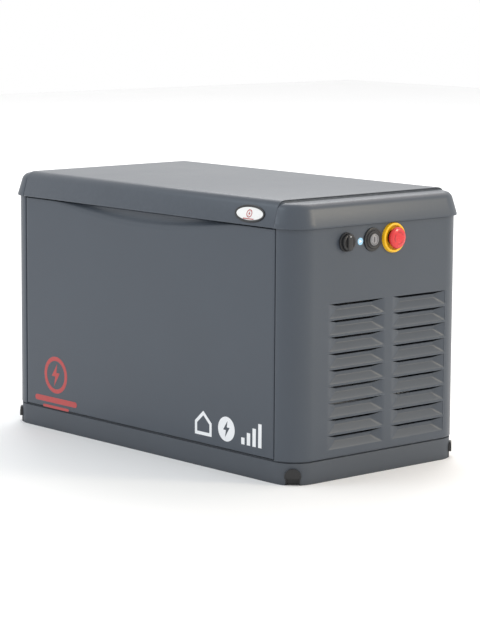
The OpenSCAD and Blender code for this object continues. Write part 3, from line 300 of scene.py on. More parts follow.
def sand_casting(name, tint, roughness=0.48):
    """Cast aluminium: grainy skin, dull in the hollows and brighter on worn edges."""
    f = Finish(name, tint, roughness, Metallic=0.85)
    grain = f.noise(380.0, 4.0, 0.65)
    stain = f.noise(18.0, 4.0, 0.6)
    worn = f.edges(0.51, 0.58)
    dull = f.shade(stain * 0.6 + grain * 0.4, dark=0.62, light=1.02)
    bright = tuple(min(1.0, c * 1.35) for c in tint) + (1.0,)
    f.feed(Base_Color=f.mixed(worn * 0.6, dull, bright), Roughness=stain * 0.22 + grain * 0.1 + (roughness - 0.14))
    f.bump(grain + f.cells(240.0) * 0.35, 0.0005, 0.6)
    return f.material


def zinc_plate(name, tint=(0.50, 0.50, 0.47), spangle=90.0, roughness=0.34):
    """Zinc-coated steel with faint spangles and drawing lines."""
    f = Finish(name, tint, roughness, Metallic=1.0)
    flake = f.node("ShaderNodeTexVoronoi", {"feature": "F1"}, {"Vector": f.at, "Scale": spangle}, out=1)
    lines = f.noise(40.0, 3.0, 0.6, at=f.place((1.0, 1.0, 22.0)))
    even = f.node("ShaderNodeRGBToBW", None, {0: flake})
    f.feed(Base_Color=f.shade(even * 0.5 + lines * 0.5, dark=0.80, light=1.10),
           Roughness=even * 0.12 + lines * 0.14 + (roughness - 0.12))
    f.bump(lines * 0.6 + even * 0.1, 0.00015, 0.4)
    return f.material


def turned_steel(name, tint=(0.46, 0.46, 0.47), roughness=0.26):
    """Machined steel with fine turning marks."""
    f = Finish(name, tint, roughness, Metallic=1.0)
    rings = (f.axis("Z") * 9000.0).sine() * 0.5 + 0.5
    oil = f.noise(30.0, 4.0, 0.6)
    f.feed(Base_Color=f.shade(oil, dark=0.72, light=1.08), Roughness=oil * 0.2 + rings * 0.06 + (roughness - 0.1))
    f.bump(rings * 0.5 + f.noise(700.0) * 0.5, 0.00006, 0.4)
    return f.material


def hot_steel(name, tint, low, high):
    """Exhaust steel that turns straw, brown and blue towards the ports."""
    f = Finish(name, tint, 0.42, Metallic=0.9)
    heat = (f.axis("Z") + f.noise(14.0, 3.0) * 0.05).ramp(low, high)
    toned = f.node("ShaderNodeValToRGB", {"stops": [
        (0.0, (*tint, 1)), (0.35, (0.36, 0.25, 0.13, 1)), (0.62, (0.22, 0.11, 0.06, 1)),
        (0.82, (0.10, 0.09, 0.14, 1)), (1.0, (0.14, 0.13, 0.13, 1))]}, {0: heat})
    spots = f.noise(120.0, 5.0, 0.65)
    rust = spots.ramp(0.56, 0.70)
    f.feed(Base_Color=f.mixed(rust * 0.5, toned, (0.12, 0.045, 0.018, 1)), Roughness=spots * 0.35 + 0.25,
           Metallic=0.95 - rust * 0.5)
    f.bump(spots, 0.0003, 0.5)
    return f.material


def open_foam(name, tint):
    """Open-cell acoustic foam, darkest in its cell pits: painted shade in the pores."""
    f = Finish(name, tint, 0.95, Sheen_Weight=0.25)
    holes = f.cells(260.0)
    cloud = f.noise(12.0, 3.0)
    # darker at the cell centres, where the bump sinks the pits: painted shade in the pores
    f.feed(Base_Color=f.shade(holes * 0.7 + cloud * 0.3, dark=0.45, light=1.35))
    f.bump(holes + f.noise(500.0) * 0.4, 0.0012, 0.8)
    return f.material


def pleated_paper(name, tint):
    """Resin-treated filter paper, dusty along the folds."""
    f = Finish(name, tint, 0.88)
    fibre = f.noise(260.0, 5.0, 0.7, at=f.place((1.0, 0.15, 1.0)))
    dust = f.noise(16.0, 4.0)
    f.feed(Base_Color=f.shade(fibre * 0.5 + dust * 0.5, dark=0.74, light=1.12), Roughness=fibre * 0.1 + 0.82)
    f.bump(fibre, 0.0004, 0.6)
    return f.material


def soft_rubber(name, tint=(0.012, 0.012, 0.013), roughness=0.66):
    """Black rubber with a dry bloom."""
    f = Finish(name, tint, roughness)
    bloom = f.noise(26.0, 4.0, 0.6)
    f.feed(Base_Color=f.shade(bloom, dark=0.75, light=1.7), Roughness=bloom * 0.2 + (roughness - 0.1))
    f.bump(f.noise(380.0, 3.0), 0.0002, 0.5)
    return f.material


def steel_laminations(name):
    """A varnished stack of thin steel sheets."""
    f = Finish(name, (0.10, 0.085, 0.075), 0.36, Metallic=0.6, Coat_Weight=0.3, Coat_Roughness=0.2)
    stack = (f.axis("Z") * 6283.0).sine() * 0.5 + 0.5
    varnish = f.noise(35.0, 4.0)
    f.feed(Base_Color=f.shade(stack * 0.5 + varnish * 0.5, dark=0.6, light=1.4), Roughness=varnish * 0.2 + 0.26)
    f.bump(stack, 0.0002, 0.7)
    return f.material


def copper_winding(name):
    """Varnished copper wire wound on a steel core, striped turn by turn: the darker grooves are painted shade and the
    bright crests painted highlight.
    """
    f = Finish(name, (0.36, 0.13, 0.045), 0.30, Metallic=0.8, Coat_Weight=0.4, Coat_Roughness=0.15)
    wires = (f.axis("Z") * 3400.0).sine() * 0.5 + 0.5
    drip = f.noise(60.0, 4.0)
    # stripes follow the wire turns: painted shade in the grooves, painted highlight on the crests
    f.feed(Base_Color=f.shade(wires * 0.6 + drip * 0.4, dark=0.55, light=1.35), Roughness=drip * 0.22 + 0.2)
    f.bump(wires + drip * 0.4, 0.0004, 0.7)
    return f.material


def satin_enamel(name, tint, roughness=0.30):
    """Sprayed engine enamel with a little orange peel and dust."""
    f = Finish(name, tint, roughness, Coat_Weight=0.25, Coat_Roughness=0.18)
    peel = f.noise(210.0, 2.0)
    dust = f.noise(11.0, 4.0, 0.6)
    worn = f.edges(0.53, 0.62) * f.noise(90.0, 4.0).ramp(0.45, 0.62)
    f.feed(Base_Color=f.mixed(worn * 0.5, f.shade(dust, dark=0.82, light=1.35), (0.30, 0.30, 0.30, 1)),
           Roughness=dust * 0.2 + peel * 0.05 + (roughness - 0.1))
    f.bump(peel, 0.00012, 0.5)
    return f.material


def glazed(name, tint, roughness=0.12, **fixed):
    """Smooth moulded or glazed surface with faint waves."""
    f = Finish(name, tint, roughness, Coat_Weight=0.5, Coat_Roughness=0.06, **fixed)
    wave = f.noise(60.0, 2.0)
    f.feed(Base_Color=f.shade(wave, dark=0.95, light=1.05), Roughness=wave * 0.08 + (roughness - 0.03))
    f.bump(wave, 0.00008, 0.3)
    return f.material


def lamp_lens(name, tint, glow):
    """A small lit indicator lens."""
    f = Finish(name, tint, 0.18, Emission_Strength=glow, Coat_Weight=0.6)
    ribs = f.cells(1400.0)
    f.feed(Base_Color=f.shade(ribs, dark=0.8, light=1.2), Emission_Color=f.shade(ribs, dark=0.7, light=1.2))
    f.bump(ribs, 0.0001, 0.4)
    return f.material


FINISHES = {}


def finish(key):
    return FINISHES[key]


def make_finishes():
    t = tints()
    FINISHES.update({
        "paint": powder_coat("Panel powder coat", t.paint),
        "base": moulded_composite("Composite base", t.base),
        "black": moulded_plastic("Black moulded plastic", (0.013, 0.013, 0.014)),
        "gloss black": glazed("Gloss black plastic", (0.010, 0.010, 0.011), 0.16),
        "case": moulded_plastic("Battery case plastic", (0.022, 0.023, 0.027), 0.45, 300.0),
        "fascia": moulded_plastic("Fascia plastic", (0.055, 0.060, 0.066), 0.42),
        "red": moulded_plastic("Stop button red", t.red, 0.26, 500.0, Coat_Weight=0.3),
        "yellow": moulded_plastic("Stop ring yellow", t.yellow, 0.32, 500.0),
        "casting": sand_casting("Cast aluminium", (0.36, 0.365, 0.37)),
        "iron": sand_casting("Cast iron", (0.13, 0.13, 0.135), 0.52),
        "zinc": zinc_plate("Zinc plated steel"),
        "muffler": zinc_plate("Aluminised muffler steel", (0.40, 0.40, 0.385), 40.0, 0.44),
        "steel": turned_steel("Machined steel"),
        "core": turned_steel("Satin lock steel", (0.30, 0.30, 0.31), 0.30),
        "hot": hot_steel("Heat-tinted exhaust steel", (0.34, 0.31, 0.28), 0.19, 0.245),
        "enamel": satin_enamel("Black engine enamel", (0.014, 0.014, 0.015)),
        "grey enamel": satin_enamel("Grey alternator enamel", (0.045, 0.048, 0.052), 0.38),
        "white": satin_enamel("White filter enamel", (0.72, 0.70, 0.64), 0.26),
        "ceramic": glazed("White ceramic", (0.80, 0.78, 0.73)),
        "rubber": soft_rubber("Black rubber"),
        "red cable": moulded_plastic("Red cable jacket", (0.30, 0.010, 0.008), 0.42),
        "foam": open_foam("Acoustic foam", (0.020, 0.021, 0.023)),
        "paper": pleated_paper("Filter paper", (0.62, 0.50, 0.26)),
        "laminations": steel_laminations("Stator laminations"),
        "copper": copper_winding("Varnished copper"),
        "mark red": glazed("Red printed mark", t.mark_red, 0.34),
        # White for printed pictograms, and also for the painted glint dot on the latch knobs.
        "white mark and painted glint": glazed("White printed mark", (0.78, 0.80, 0.82), 0.30),
        "mark blue": glazed("Pale blue sticker", (0.30, 0.58, 0.80), 0.30),
        "badge white": glazed("White badge face", (0.80, 0.80, 0.79), 0.10),
        "screen": glazed("Display glass", (0.020, 0.030, 0.026), 0.08),
        "green lamp": lamp_lens("Green lamp", (0.02, 0.45, 0.06), 1.2),
        "amber lamp": lamp_lens("Amber lamp", (0.60, 0.26, 0.01), 0.0),
        "red lamp": lamp_lens("Red lamp", (0.45, 0.01, 0.01), 0.0),
    })


# ---------------------------------------------------------------- meshes and pieces


def new_piece(name, data):
    made = bpy.data.objects.new(name, data)
    bpy.context.scene.collection.objects.link(made)
    return made


def mesh_from(name, points, faces, outward=True):
    """A mesh object from points and faces, with its doubles merged and faces turned outwards."""
    bm = bmesh.new()
    made = [bm.verts.new(p) for p in points]
    for face in faces:
        corners = []
        for i in face:
            if made[i] not in corners:
                corners.append(made[i])
        if len(corners) > 2 and not bm.faces.get(corners):
            bm.faces.new(corners)
    bmesh.ops.remove_doubles(bm, verts=bm.verts, dist=1e-6)
    bmesh.ops.dissolve_degenerate(bm, dist=1e-6, edges=bm.edges)
    if outward:
        bmesh.ops.recalc_face_normals(bm, faces=bm.faces)
    data = bpy.data.meshes.new(name)
    bm.to_mesh(data)
    bm.free()
    return new_piece(name, data)


def plain_mesh(obj):
    """Turns the object and its modifiers into one plain mesh at the origin."""
    bpy.context.view_layer.update()
    graph = bpy.context.evaluated_depsgraph_get()
    data = bpy.data.meshes.new_from_object(obj.evaluated_get(graph), depsgraph=graph)
    place = obj.matrix_world.copy()
    if obj.type != "MESH":
        name, old = obj.name, obj
        bpy.data.objects.remove(old)
        obj = new_piece(name, data)
    else:
        obj.modifiers.clear()
        obj.data = data
    data.transform(place)
    if place.determinant() < 0:
        data.flip_normals()
    obj.matrix_world = Matrix.Identity(4)
    return obj


def joined(name, parts):
    """One object from several, each already a plain mesh at the origin."""
    bm = bmesh.new()
    used = []
    for part in parts:
        shift = {}
        for i, material in enumerate(part.data.materials):
            if material not in used:
                used.append(material)
            shift[i] = used.index(material)
        start = len(bm.faces)
        bm.from_mesh(part.data)
        bm.faces.ensure_lookup_table()
        for face in bm.faces[start:]:
            face.material_index = shift.get(face.material_index, 0)
    data = bpy.data.meshes.new(name)
    bm.to_mesh(data)
    bm.free()
    for material in used:
        data.materials.append(material)
    for part in parts:
        bpy.data.objects.remove(part)
    return new_piece(name, data)


def smooth(obj, angle=35.0):
    data = obj.data
    data.shade_smooth()
    data.set_sharp_from_angle(angle=math.radians(angle))
    return obj


def set_finish(obj, key):
    obj.data.materials.clear()
    obj.data.materials.append(finish(key))
    return obj


def seat(obj, body, *nodes, slot=None):
    """Rides a finished piece on its CAD body, in place of these CAD nodes."""
    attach(obj, body)
    if nodes:
        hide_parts(*nodes)
    return obj


def cad_copy(name, node, keep=None):
    """A merged copy of a CAD node, flat areas made whole. keep says which loose parts stay."""
    bm = bmesh.new()
    bm.from_mesh(frame["nodes"][node].data)
    bmesh.ops.remove_doubles(bm, verts=bm.verts, dist=2e-6)
    if keep:
        drop_parts(bm, keep)
    bmesh.ops.dissolve_limit(bm, angle_limit=math.radians(0.4), verts=bm.verts, edges=bm.edges)
    data = bpy.data.meshes.new(name)
    bm.to_mesh(data)
    bm.free()
    return new_piece(name, data)


def drop_parts(bm, keep):
    left = set(bm.verts)
    while left:
        part, todo = set(), [left.pop()]
        while todo:
            v = todo.pop()
            part.add(v)
            for edge in v.link_edges:
                other = edge.other_vert(v)
                if other in left:
                    left.discard(other)
                    todo.append(other)
        points = np.array([v.co for v in part])
        if not keep(points.min(0), points.max(0)):
            bmesh.ops.delete(bm, geom=list(part), context="VERTS")


def softened(name, node, width, segments=2, keep=None):
    """A CAD node's shape with its hard edges rounded by width."""
    obj = cad_copy(name, node, keep)
    obj.data.shade_smooth()
    bevel = obj.modifiers.new("Edges", "BEVEL")
    bevel.width, bevel.segments = width, segments
    bevel.limit_method, bevel.angle_limit = "ANGLE", math.radians(34)
    bevel.use_clamp_overlap = True
    bevel.harden_normals = False
    obj = plain_mesh(obj)
    return smooth(obj, 42)


def dressed(name, node, body, key, slot, width=0.0008, segments=2, keep=None):
    """A softened CAD node in its finish, on its body."""
    obj = softened(name, node, width, segments, keep)
    set_finish(obj, key)
    return seat(obj, body, node, slot=slot)


def turned(name, outline, centre, axis, steps=56, flutes=0, depth=0.0, band=(0, 0)):
    """A lathe-turned shape. outline is [(radius, place along the axis)], with poles at radius 0.
    Flutes ripple the radius by depth for the rings numbered in band."""
    points, faces, rings = [], [], []
    for k, (r, t) in enumerate(outline):
        if r < 1e-7:
            rings.append([len(points)])
            points.append(Vector((0, 0, t)))
            continue
        ring = []
        for i in range(steps):
            a = 2 * math.pi * i / steps
            wave = depth * math.cos(flutes * a) if flutes and band[0] <= k <= band[1] else 0.0
            ring.append(len(points))
            points.append(Vector(((r + wave) * math.cos(a), (r + wave) * math.sin(a), t)))
        rings.append(ring)
    closed = rings + ([rings[0]] if len(rings[0]) > 1 and len(rings[-1]) > 1 else [])
    for low, high in zip(closed, closed[1:]):
        for i in range(steps):
            j = (i + 1) % steps
            faces.append([low[i % len(low)], low[j % len(low)], high[j % len(high)], high[i % len(high)]])
    turn = Vector((0, 0, 1)).rotation_difference(Vector(axis)).to_matrix().to_4x4()
    place = Matrix.Translation(Vector(centre)) @ turn
    return mesh_from(name, [place @ p for p in points], faces)


def rounded_outline(corners, radius, steps=4):
    """An outline with each listed corner rounded, as points (a, b)."""
    out = []
    for k, (p, r) in enumerate(zip(corners, radius)):
        if r == 0:
            out.append(p)
            continue
        before, after = Vector(corners[k - 1]), Vector(corners[(k + 1) % len(corners)])
        here = Vector(p)
        u, v = (before - here).normalized(), (after - here).normalized()
        half = math.acos(max(-1, min(1, u.dot(v)))) / 2
        cut = min(r / math.tan(half), (before - here).length * 0.49, (after - here).length * 0.49)
        real = cut * math.tan(half)
        middle = here + (u + v).normalized() * (real / math.sin(half))
        a, b = here + u * cut - middle, here + v * cut - middle
        for i in range(steps + 1):
            out.append(tuple(middle + a.lerp(b, i / steps).normalized() * real))
    return out


def block(name, low, high, width, segments=3):
    """A box with its edges rounded."""
    bm = bmesh.new()
    bmesh.ops.create_cube(bm, size=1.0)
    low, high = Vector(low), Vector(high)
    for v in bm.verts:
        v.co = Vector([low[i] + (v.co[i] + 0.5) * (high[i] - low[i]) for i in range(3)])
    bmesh.ops.bevel(bm, geom=bm.edges, offset=width, segments=segments, profile=0.5, affect="EDGES")
    data = bpy.data.meshes.new(name)
    bm.to_mesh(data)
    bm.free()
    return smooth(new_piece(name, data))


def flat_mark(name, outlines, thickness, place):
    """A thin flat shape from closed outlines, holes included, moved by a matrix."""
    data = bpy.data.curves.new(name, "CURVE")
    data.dimensions, data.fill_mode, data.extrude = "2D", "BOTH", thickness / 2
    for outline in outlines:
        spline = data.splines.new("POLY")
        spline.points.add(len(outline) - 1)
        spline.use_cyclic_u = True
        for point, (a, b) in zip(spline.points, outline):
            point.co = (a, b, 0, 1)
    obj = plain_mesh(new_piece(name, data))
    bm = bmesh.new()
    bm.from_mesh(obj.data)
    bmesh.ops.remove_doubles(bm, verts=bm.verts, dist=1e-6)
    bmesh.ops.recalc_face_normals(bm, faces=bm.faces)
    bm.to_mesh(obj.data)
    bm.free()
    obj.data.transform(place)
    return obj


def circle_points(radius, steps=64, centre=(0, 0), squash=1.0):
    return [(centre[0] + radius * math.cos(2 * math.pi * i / steps),
             centre[1] + squash * radius * math.sin(2 * math.pi * i / steps)) for i in range(steps)]


def bolt_points(size, centre=(0, 0)):
    """A plain lightning bolt."""
    shape = [(0.10, 0.50), (-0.28, -0.06), (-0.04, -0.06), (-0.12, -0.50), (0.28, 0.10), (0.04, 0.10)]
    return [(centre[0] + a * size, centre[1] + b * size) for a, b in shape]


# ---------------------------------------------------------------- geometry node trees


def group(name, inputs):
    """A geometry tree with named inputs. Returns the graph, its inputs and its output node."""
    tree = bpy.data.node_groups.new(name, "GeometryNodeTree")
    face = tree.interface
    face.new_socket("Geometry", in_out="INPUT", socket_type="NodeSocketGeometry")
    for label, kind, default in inputs:
        socket = face.new_socket(label, in_out="INPUT", socket_type=kind)
        if default is not None:
            socket.default_value = default
    face.new_socket("Geometry", in_out="OUTPUT", socket_type="NodeSocketGeometry")
    graph = Graph(tree)
    start, end = tree.nodes.new("NodeGroupInput"), tree.nodes.new("NodeGroupOutput")
    given = {label: Value(graph, start.outputs[label]) for label, _, _ in [("Geometry", 0, 0)] + inputs}
    return graph, given, end


def close_group(graph, end, shape, material):
    real = graph.node("GeometryNodeRealizeInstances", None, {0: shape})
    last = graph.node("GeometryNodeSetMaterial", None, {"Geometry": real, "Material": material})
    graph.tree.links.new(last.socket, end.inputs[0])


def run_group(obj, tree, values):
    """Runs a geometry tree on the object and leaves a plain mesh."""
    modifier = obj.modifiers.new(tree.name, "NODES")
    modifier.node_group = tree
    names = {s.name: s.identifier for s in tree.interface.items_tree
             if s.item_type == "SOCKET" and s.in_out == "INPUT"}
    for label, value in values.items():
        modifier[names[label]] = value
    return plain_mesh(obj)


def louvre_field():
    """Repeats one louvre in rows and columns, down and along from where it is."""
    g, given, end = group("Louvre rows and columns", [
        ("Rows", "NodeSocketInt", 9), ("Columns", "NodeSocketInt", 2),
        ("Row pitch", "NodeSocketFloat", 0.043), ("Column step", "NodeSocketFloat", 0.23),
        ("Material", "NodeSocketMaterial", None)])
    wide = (given["Columns"] - 1.0) * given["Column step"]
    tall = (given["Rows"] - 1.0) * given["Row pitch"]
    grid = g.node("GeometryNodeMeshGrid", None,
                  {"Size X": wide, "Size Y": tall, "Vertices X": given["Columns"], "Vertices Y": given["Rows"]})
    shift = g.node("ShaderNodeCombineXYZ", None, {0: wide * 0.5, 2: tall * -0.5})
    upright = g.node("GeometryNodeTransform", None,
                     {"Geometry": grid, "Translation": shift, "Rotation": (math.pi / 2, 0, 0)})
    copies = g.node("GeometryNodeInstanceOnPoints", None, {"Points": upright, "Instance": given["Geometry"]})
    close_group(g, end, copies, given["Material"])
    return g.tree


def fastener_field():
    """Sets a washer and a chamfered head on every point, along the point's own direction."""
    g, given, end = group("Fastener heads", [
        ("Radius", "NodeSocketFloat", 0.006), ("Height", "NodeSocketFloat", 0.005),
        ("Sides", "NodeSocketInt", 6), ("Washer", "NodeSocketFloat", 1.45),
        ("Material", "NodeSocketMaterial", None)])
    r, h = given["Radius"], given["Height"]

    def drum(low, high, depth, at, sides):
        cone = g.node("GeometryNodeMeshCone", None, {"Vertices": sides, "Radius Bottom": low,
                                                     "Radius Top": high, "Depth": depth})
        lift = g.node("ShaderNodeCombineXYZ", None, {2: at})
        return g.node("GeometryNodeTransform", None, {"Geometry": cone, "Translation": lift})

    parts = [drum(r * given["Washer"], r * given["Washer"] * 0.94, h * 0.22, h * -0.04, 20),
             drum(r, r, h * 0.66, h * 0.12, given["Sides"]), drum(r, r * 0.80, h * 0.16, h * 0.78, given["Sides"])]
    head = g.tree.nodes.new("GeometryNodeJoinGeometry")
    for part in parts:
        g.tree.links.new(part.socket, head.inputs[0])
    way = g.node("GeometryNodeInputNamedAttribute", {"data_type": "FLOAT_VECTOR"}, {"Name": "way"})
    turn = g.node("FunctionNodeAlignRotationToVector", {"axis": "Z"}, {"Vector": way})
    copies = g.node("GeometryNodeInstanceOnPoints", None,
                    {"Points": given["Geometry"], "Instance": Value(g, head.outputs[0]), "Rotation": turn})
    close_group(g, end, copies, given["Material"])
    return g.tree


def hose_along():
    """Sweeps a round section along a curve and caps its ends."""
    g, given, end = group("Round hose", [("Radius", "NodeSocketFloat", 0.005), ("Sides", "NodeSocketInt", 20),
                                         ("Material", "NodeSocketMaterial", None)])
    even = g.node("GeometryNodeResampleCurve", None, {"Curve": given["Geometry"], "Count": 90})
    ring = g.node("GeometryNodeCurvePrimitiveCircle", None, {"Resolution": given["Sides"],
                                                             "Radius": given["Radius"]})
    tube = g.node("GeometryNodeCurveToMesh", None, {"Curve": even, "Profile Curve": ring, "Fill Caps": True})
    close_group(g, end, tube, given["Material"])
    return g.tree


TREES = {}


def fasteners(name, body, places, radius, height, key="zinc", sides=6, washer=1.45):
    """Fastener heads at (point, direction) places, as one piece."""
    data = bpy.data.meshes.new(name)
    data.from_pydata([p for p, _ in places], [], [])
    way = data.attributes.new("way", "FLOAT_VECTOR", "POINT")
    way.data.foreach_set("vector", [c for _, d in places for c in d])
    obj = run_group(new_piece(name, data), TREES["fastener"], {
        "Radius": radius, "Height": height, "Sides": sides, "Washer": washer, "Material": finish(key)})
    smooth(obj, 30)
    return seat(obj, body)


def hose(name, body, route, radius, key, *nodes, slot=None):
    """A smooth hose through the points of its route."""
    data = bpy.data.curves.new(name, "CURVE")
    data.dimensions = "3D"
    spline = data.splines.new("POLY")
    path = through(route)
    spline.points.add(len(path) - 1)
    for point, p in zip(spline.points, path):
        point.co = (*p, 1)
    obj = run_group(new_piece(name, data), TREES["hose"],
                    {"Radius": radius, "Sides": 20, "Material": finish(key)})
    smooth(obj, 60)
    return seat(obj, body, *nodes, slot=slot)


def through(route, steps=8):
    """Points on the smooth curve through a route (Catmull-Rom)."""
    p = [Vector(q) for q in route]
    out = []
    for i in range(len(p) - 1):
        a, b, c, d = p[max(i - 1, 0)], p[i], p[i + 1], p[min(i + 2, len(p) - 1)]
        for k in range(steps):
            t = k / steps
            out.append(0.5 * (2 * b + (c - a) * t + (2 * a - 5 * b + 4 * c - d) * t ** 2
                              + (3 * b - a - 3 * c + d) * t ** 3))
    return out + [p[-1]]


def crank_centre():
    """The point on the crankshaft's axis that its joint turns about."""
    return next(j for j in frame["joints"] if j["name"] == "crankshaft_spin")["pos_m"]


# ---------------------------------------------------------------- pressed sheet


def eased(u, foot, head):
    """A ramp from 0 to 1 whose foot and head are rounded over these shares of its length."""
    u = np.clip(u, 0.0, 1.0)
    slope = 1.0 / (1.0 - (foot + head) / 2)
    low = slope * u * u / (2 * foot)
    high = 1.0 - slope * (1.0 - u) ** 2 / (2 * head)
    return np.where(u < foot, low, np.where(u > 1 - head, high, slope * (u - foot / 2)))


def soft_least(a, b, blend=0.12):
    """The smaller of two ramps, rounded where they cross, and exact along both outlines."""
    k = blend * np.clip(a + b, 0, 1) + 1e-9
    h = np.clip(0.5 + 0.5 * (b - a) / k, 0, 1)
    return np.clip((b * (1 - h) + a * h - k * h * (1 - h)) / (1 - blend / 4), 0, 1)


def louvre_lines():
    """Places of a louvre's mesh lines: along its width, and as shares of its height."""
    s = sizes()
    run, width = s.louvre_run, s.louvre_width
    ends = np.array([0, 0.03, 0.07, 0.12, 0.18, 0.26, 0.36, 0.46, 0.56, 0.66, 0.75, 0.82, 0.88, 0.93, 0.97, 1, 1.06])
    middle = np.linspace(1.06 * run, width - 1.06 * run, 7)[1:-1]
    across = np.concatenate([ends * run, middle, (width - ends * run)[::-1]])
    rise = [0, 0.03, 0.06, 0.10, 0.14, 0.18, 0.24, 0.34, 0.46, 0.58, 0.70, 0.78, 0.84, 0.89, 0.93, 0.97, 1, 1.05]
    face = np.array(rise) * s.louvre_foot / (s.louvre_height - s.louvre_lip)
    return across, np.concatenate([face, np.linspace(face[-1], 1.0, 7)[1:]])


def louvre_mesh():
    """One louvre: a pocket pressed inwards (+Y) from the plane y = 0, open along a slit at its top."""
    s = sizes()
    across, up = louvre_lines()
    ends = eased(np.minimum(across, s.louvre_width - across) / s.louvre_run, 0.28, 0.10)
    top = s.louvre_height - s.louvre_lip * ends
    z = up[:, None] * top[None, :]
    depth = s.louvre_depth * soft_least(ends[None, :], eased(z / s.louvre_foot, 0.20, 0.14))
    curl = np.clip((z - (top[None, :] - 0.004)) / 0.004, 0, 1) ** 2 * ends[None, :] * 0.0012
    points = [(across[i], depth[j, i] - curl[j, i], z[j, i]) for j in range(len(up)) for i in range(len(across))]
    n = len(across)
    faces = [[j * n + i, j * n + i + 1, (j + 1) * n + i + 1, (j + 1) * n + i]
             for j in range(len(up) - 1) for i in range(n - 1)]
    return points, faces


def sheet_grid(stations, rows, holes):
    """Quads over stations [(x, y, inward x, inward y, along)] and rows [(inset, z)], less the louvre holes."""
    points = [(x + ix * inset, y + iy * inset, z) for inset, z in rows for x, y, ix, iy, _ in stations]
    n = len(stations)
    faces = []
    for j in range(len(rows) - 1):
        z = (rows[j][1] + rows[j + 1][1]) / 2
        for i in range(n - 1):
            a, b = stations[i][4], stations[i + 1][4]
            middle = None if a is None or b is None else (a + b) / 2
            if middle is not None and any(h[0] < middle < h[1] and h[2] < z < h[3] for h in holes):
                continue
            faces.append([j * n + i, j * n + i + 1, (j + 1) * n + i + 1, (j + 1) * n + i])
    return points, faces


def sheet_rows(low, high, louvre_rows, flange):
    """Row places from foot to top: flange, bend, the louvres' own lines, bend, flange."""
    s = sizes()
    _, up = louvre_lines()
    bend = s.bend
    arc = [(bend * (1 - math.cos(a)), bend * math.sin(a)) for a in np.linspace(0, math.pi / 2, 4)]
    foot = [(flange, low)] + [(d, low + bend - h) for d, h in [(bend * (1 - math.sin(a)), bend * math.cos(a))
                                                                for a in np.linspace(0, math.pi / 2, 4)]]
    head = [(inset, high - bend + h) for inset, h in arc] + [(flange, high)]
    z = []
    for r in range(louvre_rows):
        base = s.louvre_top - s.louvre_height - r * s.louvre_pitch
        z += [base + u * s.louvre_height for u in up]
    first = s.louvre_top
    z += [first + 0.0006, first + 0.002, first + 0.006]
    z += list(np.linspace(first, high - 0.01, 7)[1:]) + list(np.linspace(low + 0.006, min(z) - 0.004, 3))
    inner = sorted(set(round(v, 7) for v in z if low + bend * 1.2 < v < high - bend * 1.2))
    return foot + [(0.0, v) for v in inner] + head


def arc_stations(centre, radius, start, end, steps):
    out = []
    for a in np.linspace(math.radians(start), math.radians(end), steps):
        out.append((centre[0] + radius * math.cos(a), centre[1] + radius * math.sin(a),
                    -math.cos(a), -math.sin(a), None))
    return out


def pressed_panel(name, stations, rows, columns, louvre_rows, low_along, place, flange_ok):
    """A sheet on stations and rows, with a field of louvres pressed in."""
    s = sizes()
    holes = []
    for c in range(columns):
        a = low_along + c * (s.louvre_width + s.louvre_gap)
        for r in range(louvre_rows):
            base = s.louvre_top - s.louvre_height - r * s.louvre_pitch
            holes.append((a, a + s.louvre_width, base, base + s.louvre_height))
    grid, faces = sheet_grid(stations, rows, holes)
    n = len(stations)
    for k, point in enumerate(grid):
        x, y = stations[k % n][:2]
        if not flange_ok(x, y):
            grid[k] = (x, y, point[2])
    skin = mesh_from(name + "_skin", grid, faces, outward=False)
    points, quads = louvre_mesh()
    one = mesh_from(name + "_louvre", points, quads, outward=False)
    field = run_group(one, TREES["louvre"], {
        "Rows": louvre_rows, "Columns": columns, "Row pitch": s.louvre_pitch,
        "Column step": s.louvre_width + s.louvre_gap, "Material": finish("paint")})
    field.data.transform(place)
    sheet = joined(name, [skin, field])
    bm = bmesh.new()
    bm.from_mesh(sheet.data)
    bmesh.ops.remove_doubles(bm, verts=bm.verts, dist=2e-5)
    bmesh.ops.dissolve_degenerate(bm, dist=1e-6, edges=bm.edges)
    bmesh.ops.recalc_face_normals(bm, faces=bm.faces)
    bm.to_mesh(sheet.data)
    bm.free()
    return sheet


def thickened(sheet, outward, thickness=STEEL):
    """Gives a sheet its thickness, inwards from the side that faces the outward point."""
    face = max(sheet.data.polygons, key=lambda f: f.area)
    if face.normal.dot(Vector(outward)) < 0:
        sheet.data.flip_normals()
    wall = sheet.modifiers.new("Wall", "SOLIDIFY")
    wall.thickness, wall.offset, wall.use_even_offset = thickness, -1.0, False
    sheet = plain_mesh(sheet)
    return set_finish(smooth(sheet, 38), "paint")


def cut_holes(obj, holes):
    """Cuts round holes: [(centre, axis, radius)]."""
    cutters = [turned("cutter", [(0, -0.02), (r, -0.02), (r, 0.02), (0, 0.02)], c, a, 40) for c, a, r in holes]
    cutter = joined("cutter", cutters)
    cut = obj.modifiers.new("Holes", "BOOLEAN")
    cut.object, cut.solver, cut.operation = cutter, "EXACT", "DIFFERENCE"
    obj = plain_mesh(obj)
    bpy.data.objects.remove(cutter)
    return set_finish(smooth(obj, 38), "paint")


# ---------------------------------------------------------------- operators


class Build:
    """What every operator here shares."""

    bl_options = {"REGISTER", "UNDO"}

    def execute(self, context):
        self.build()
        return {"FINISHED"}


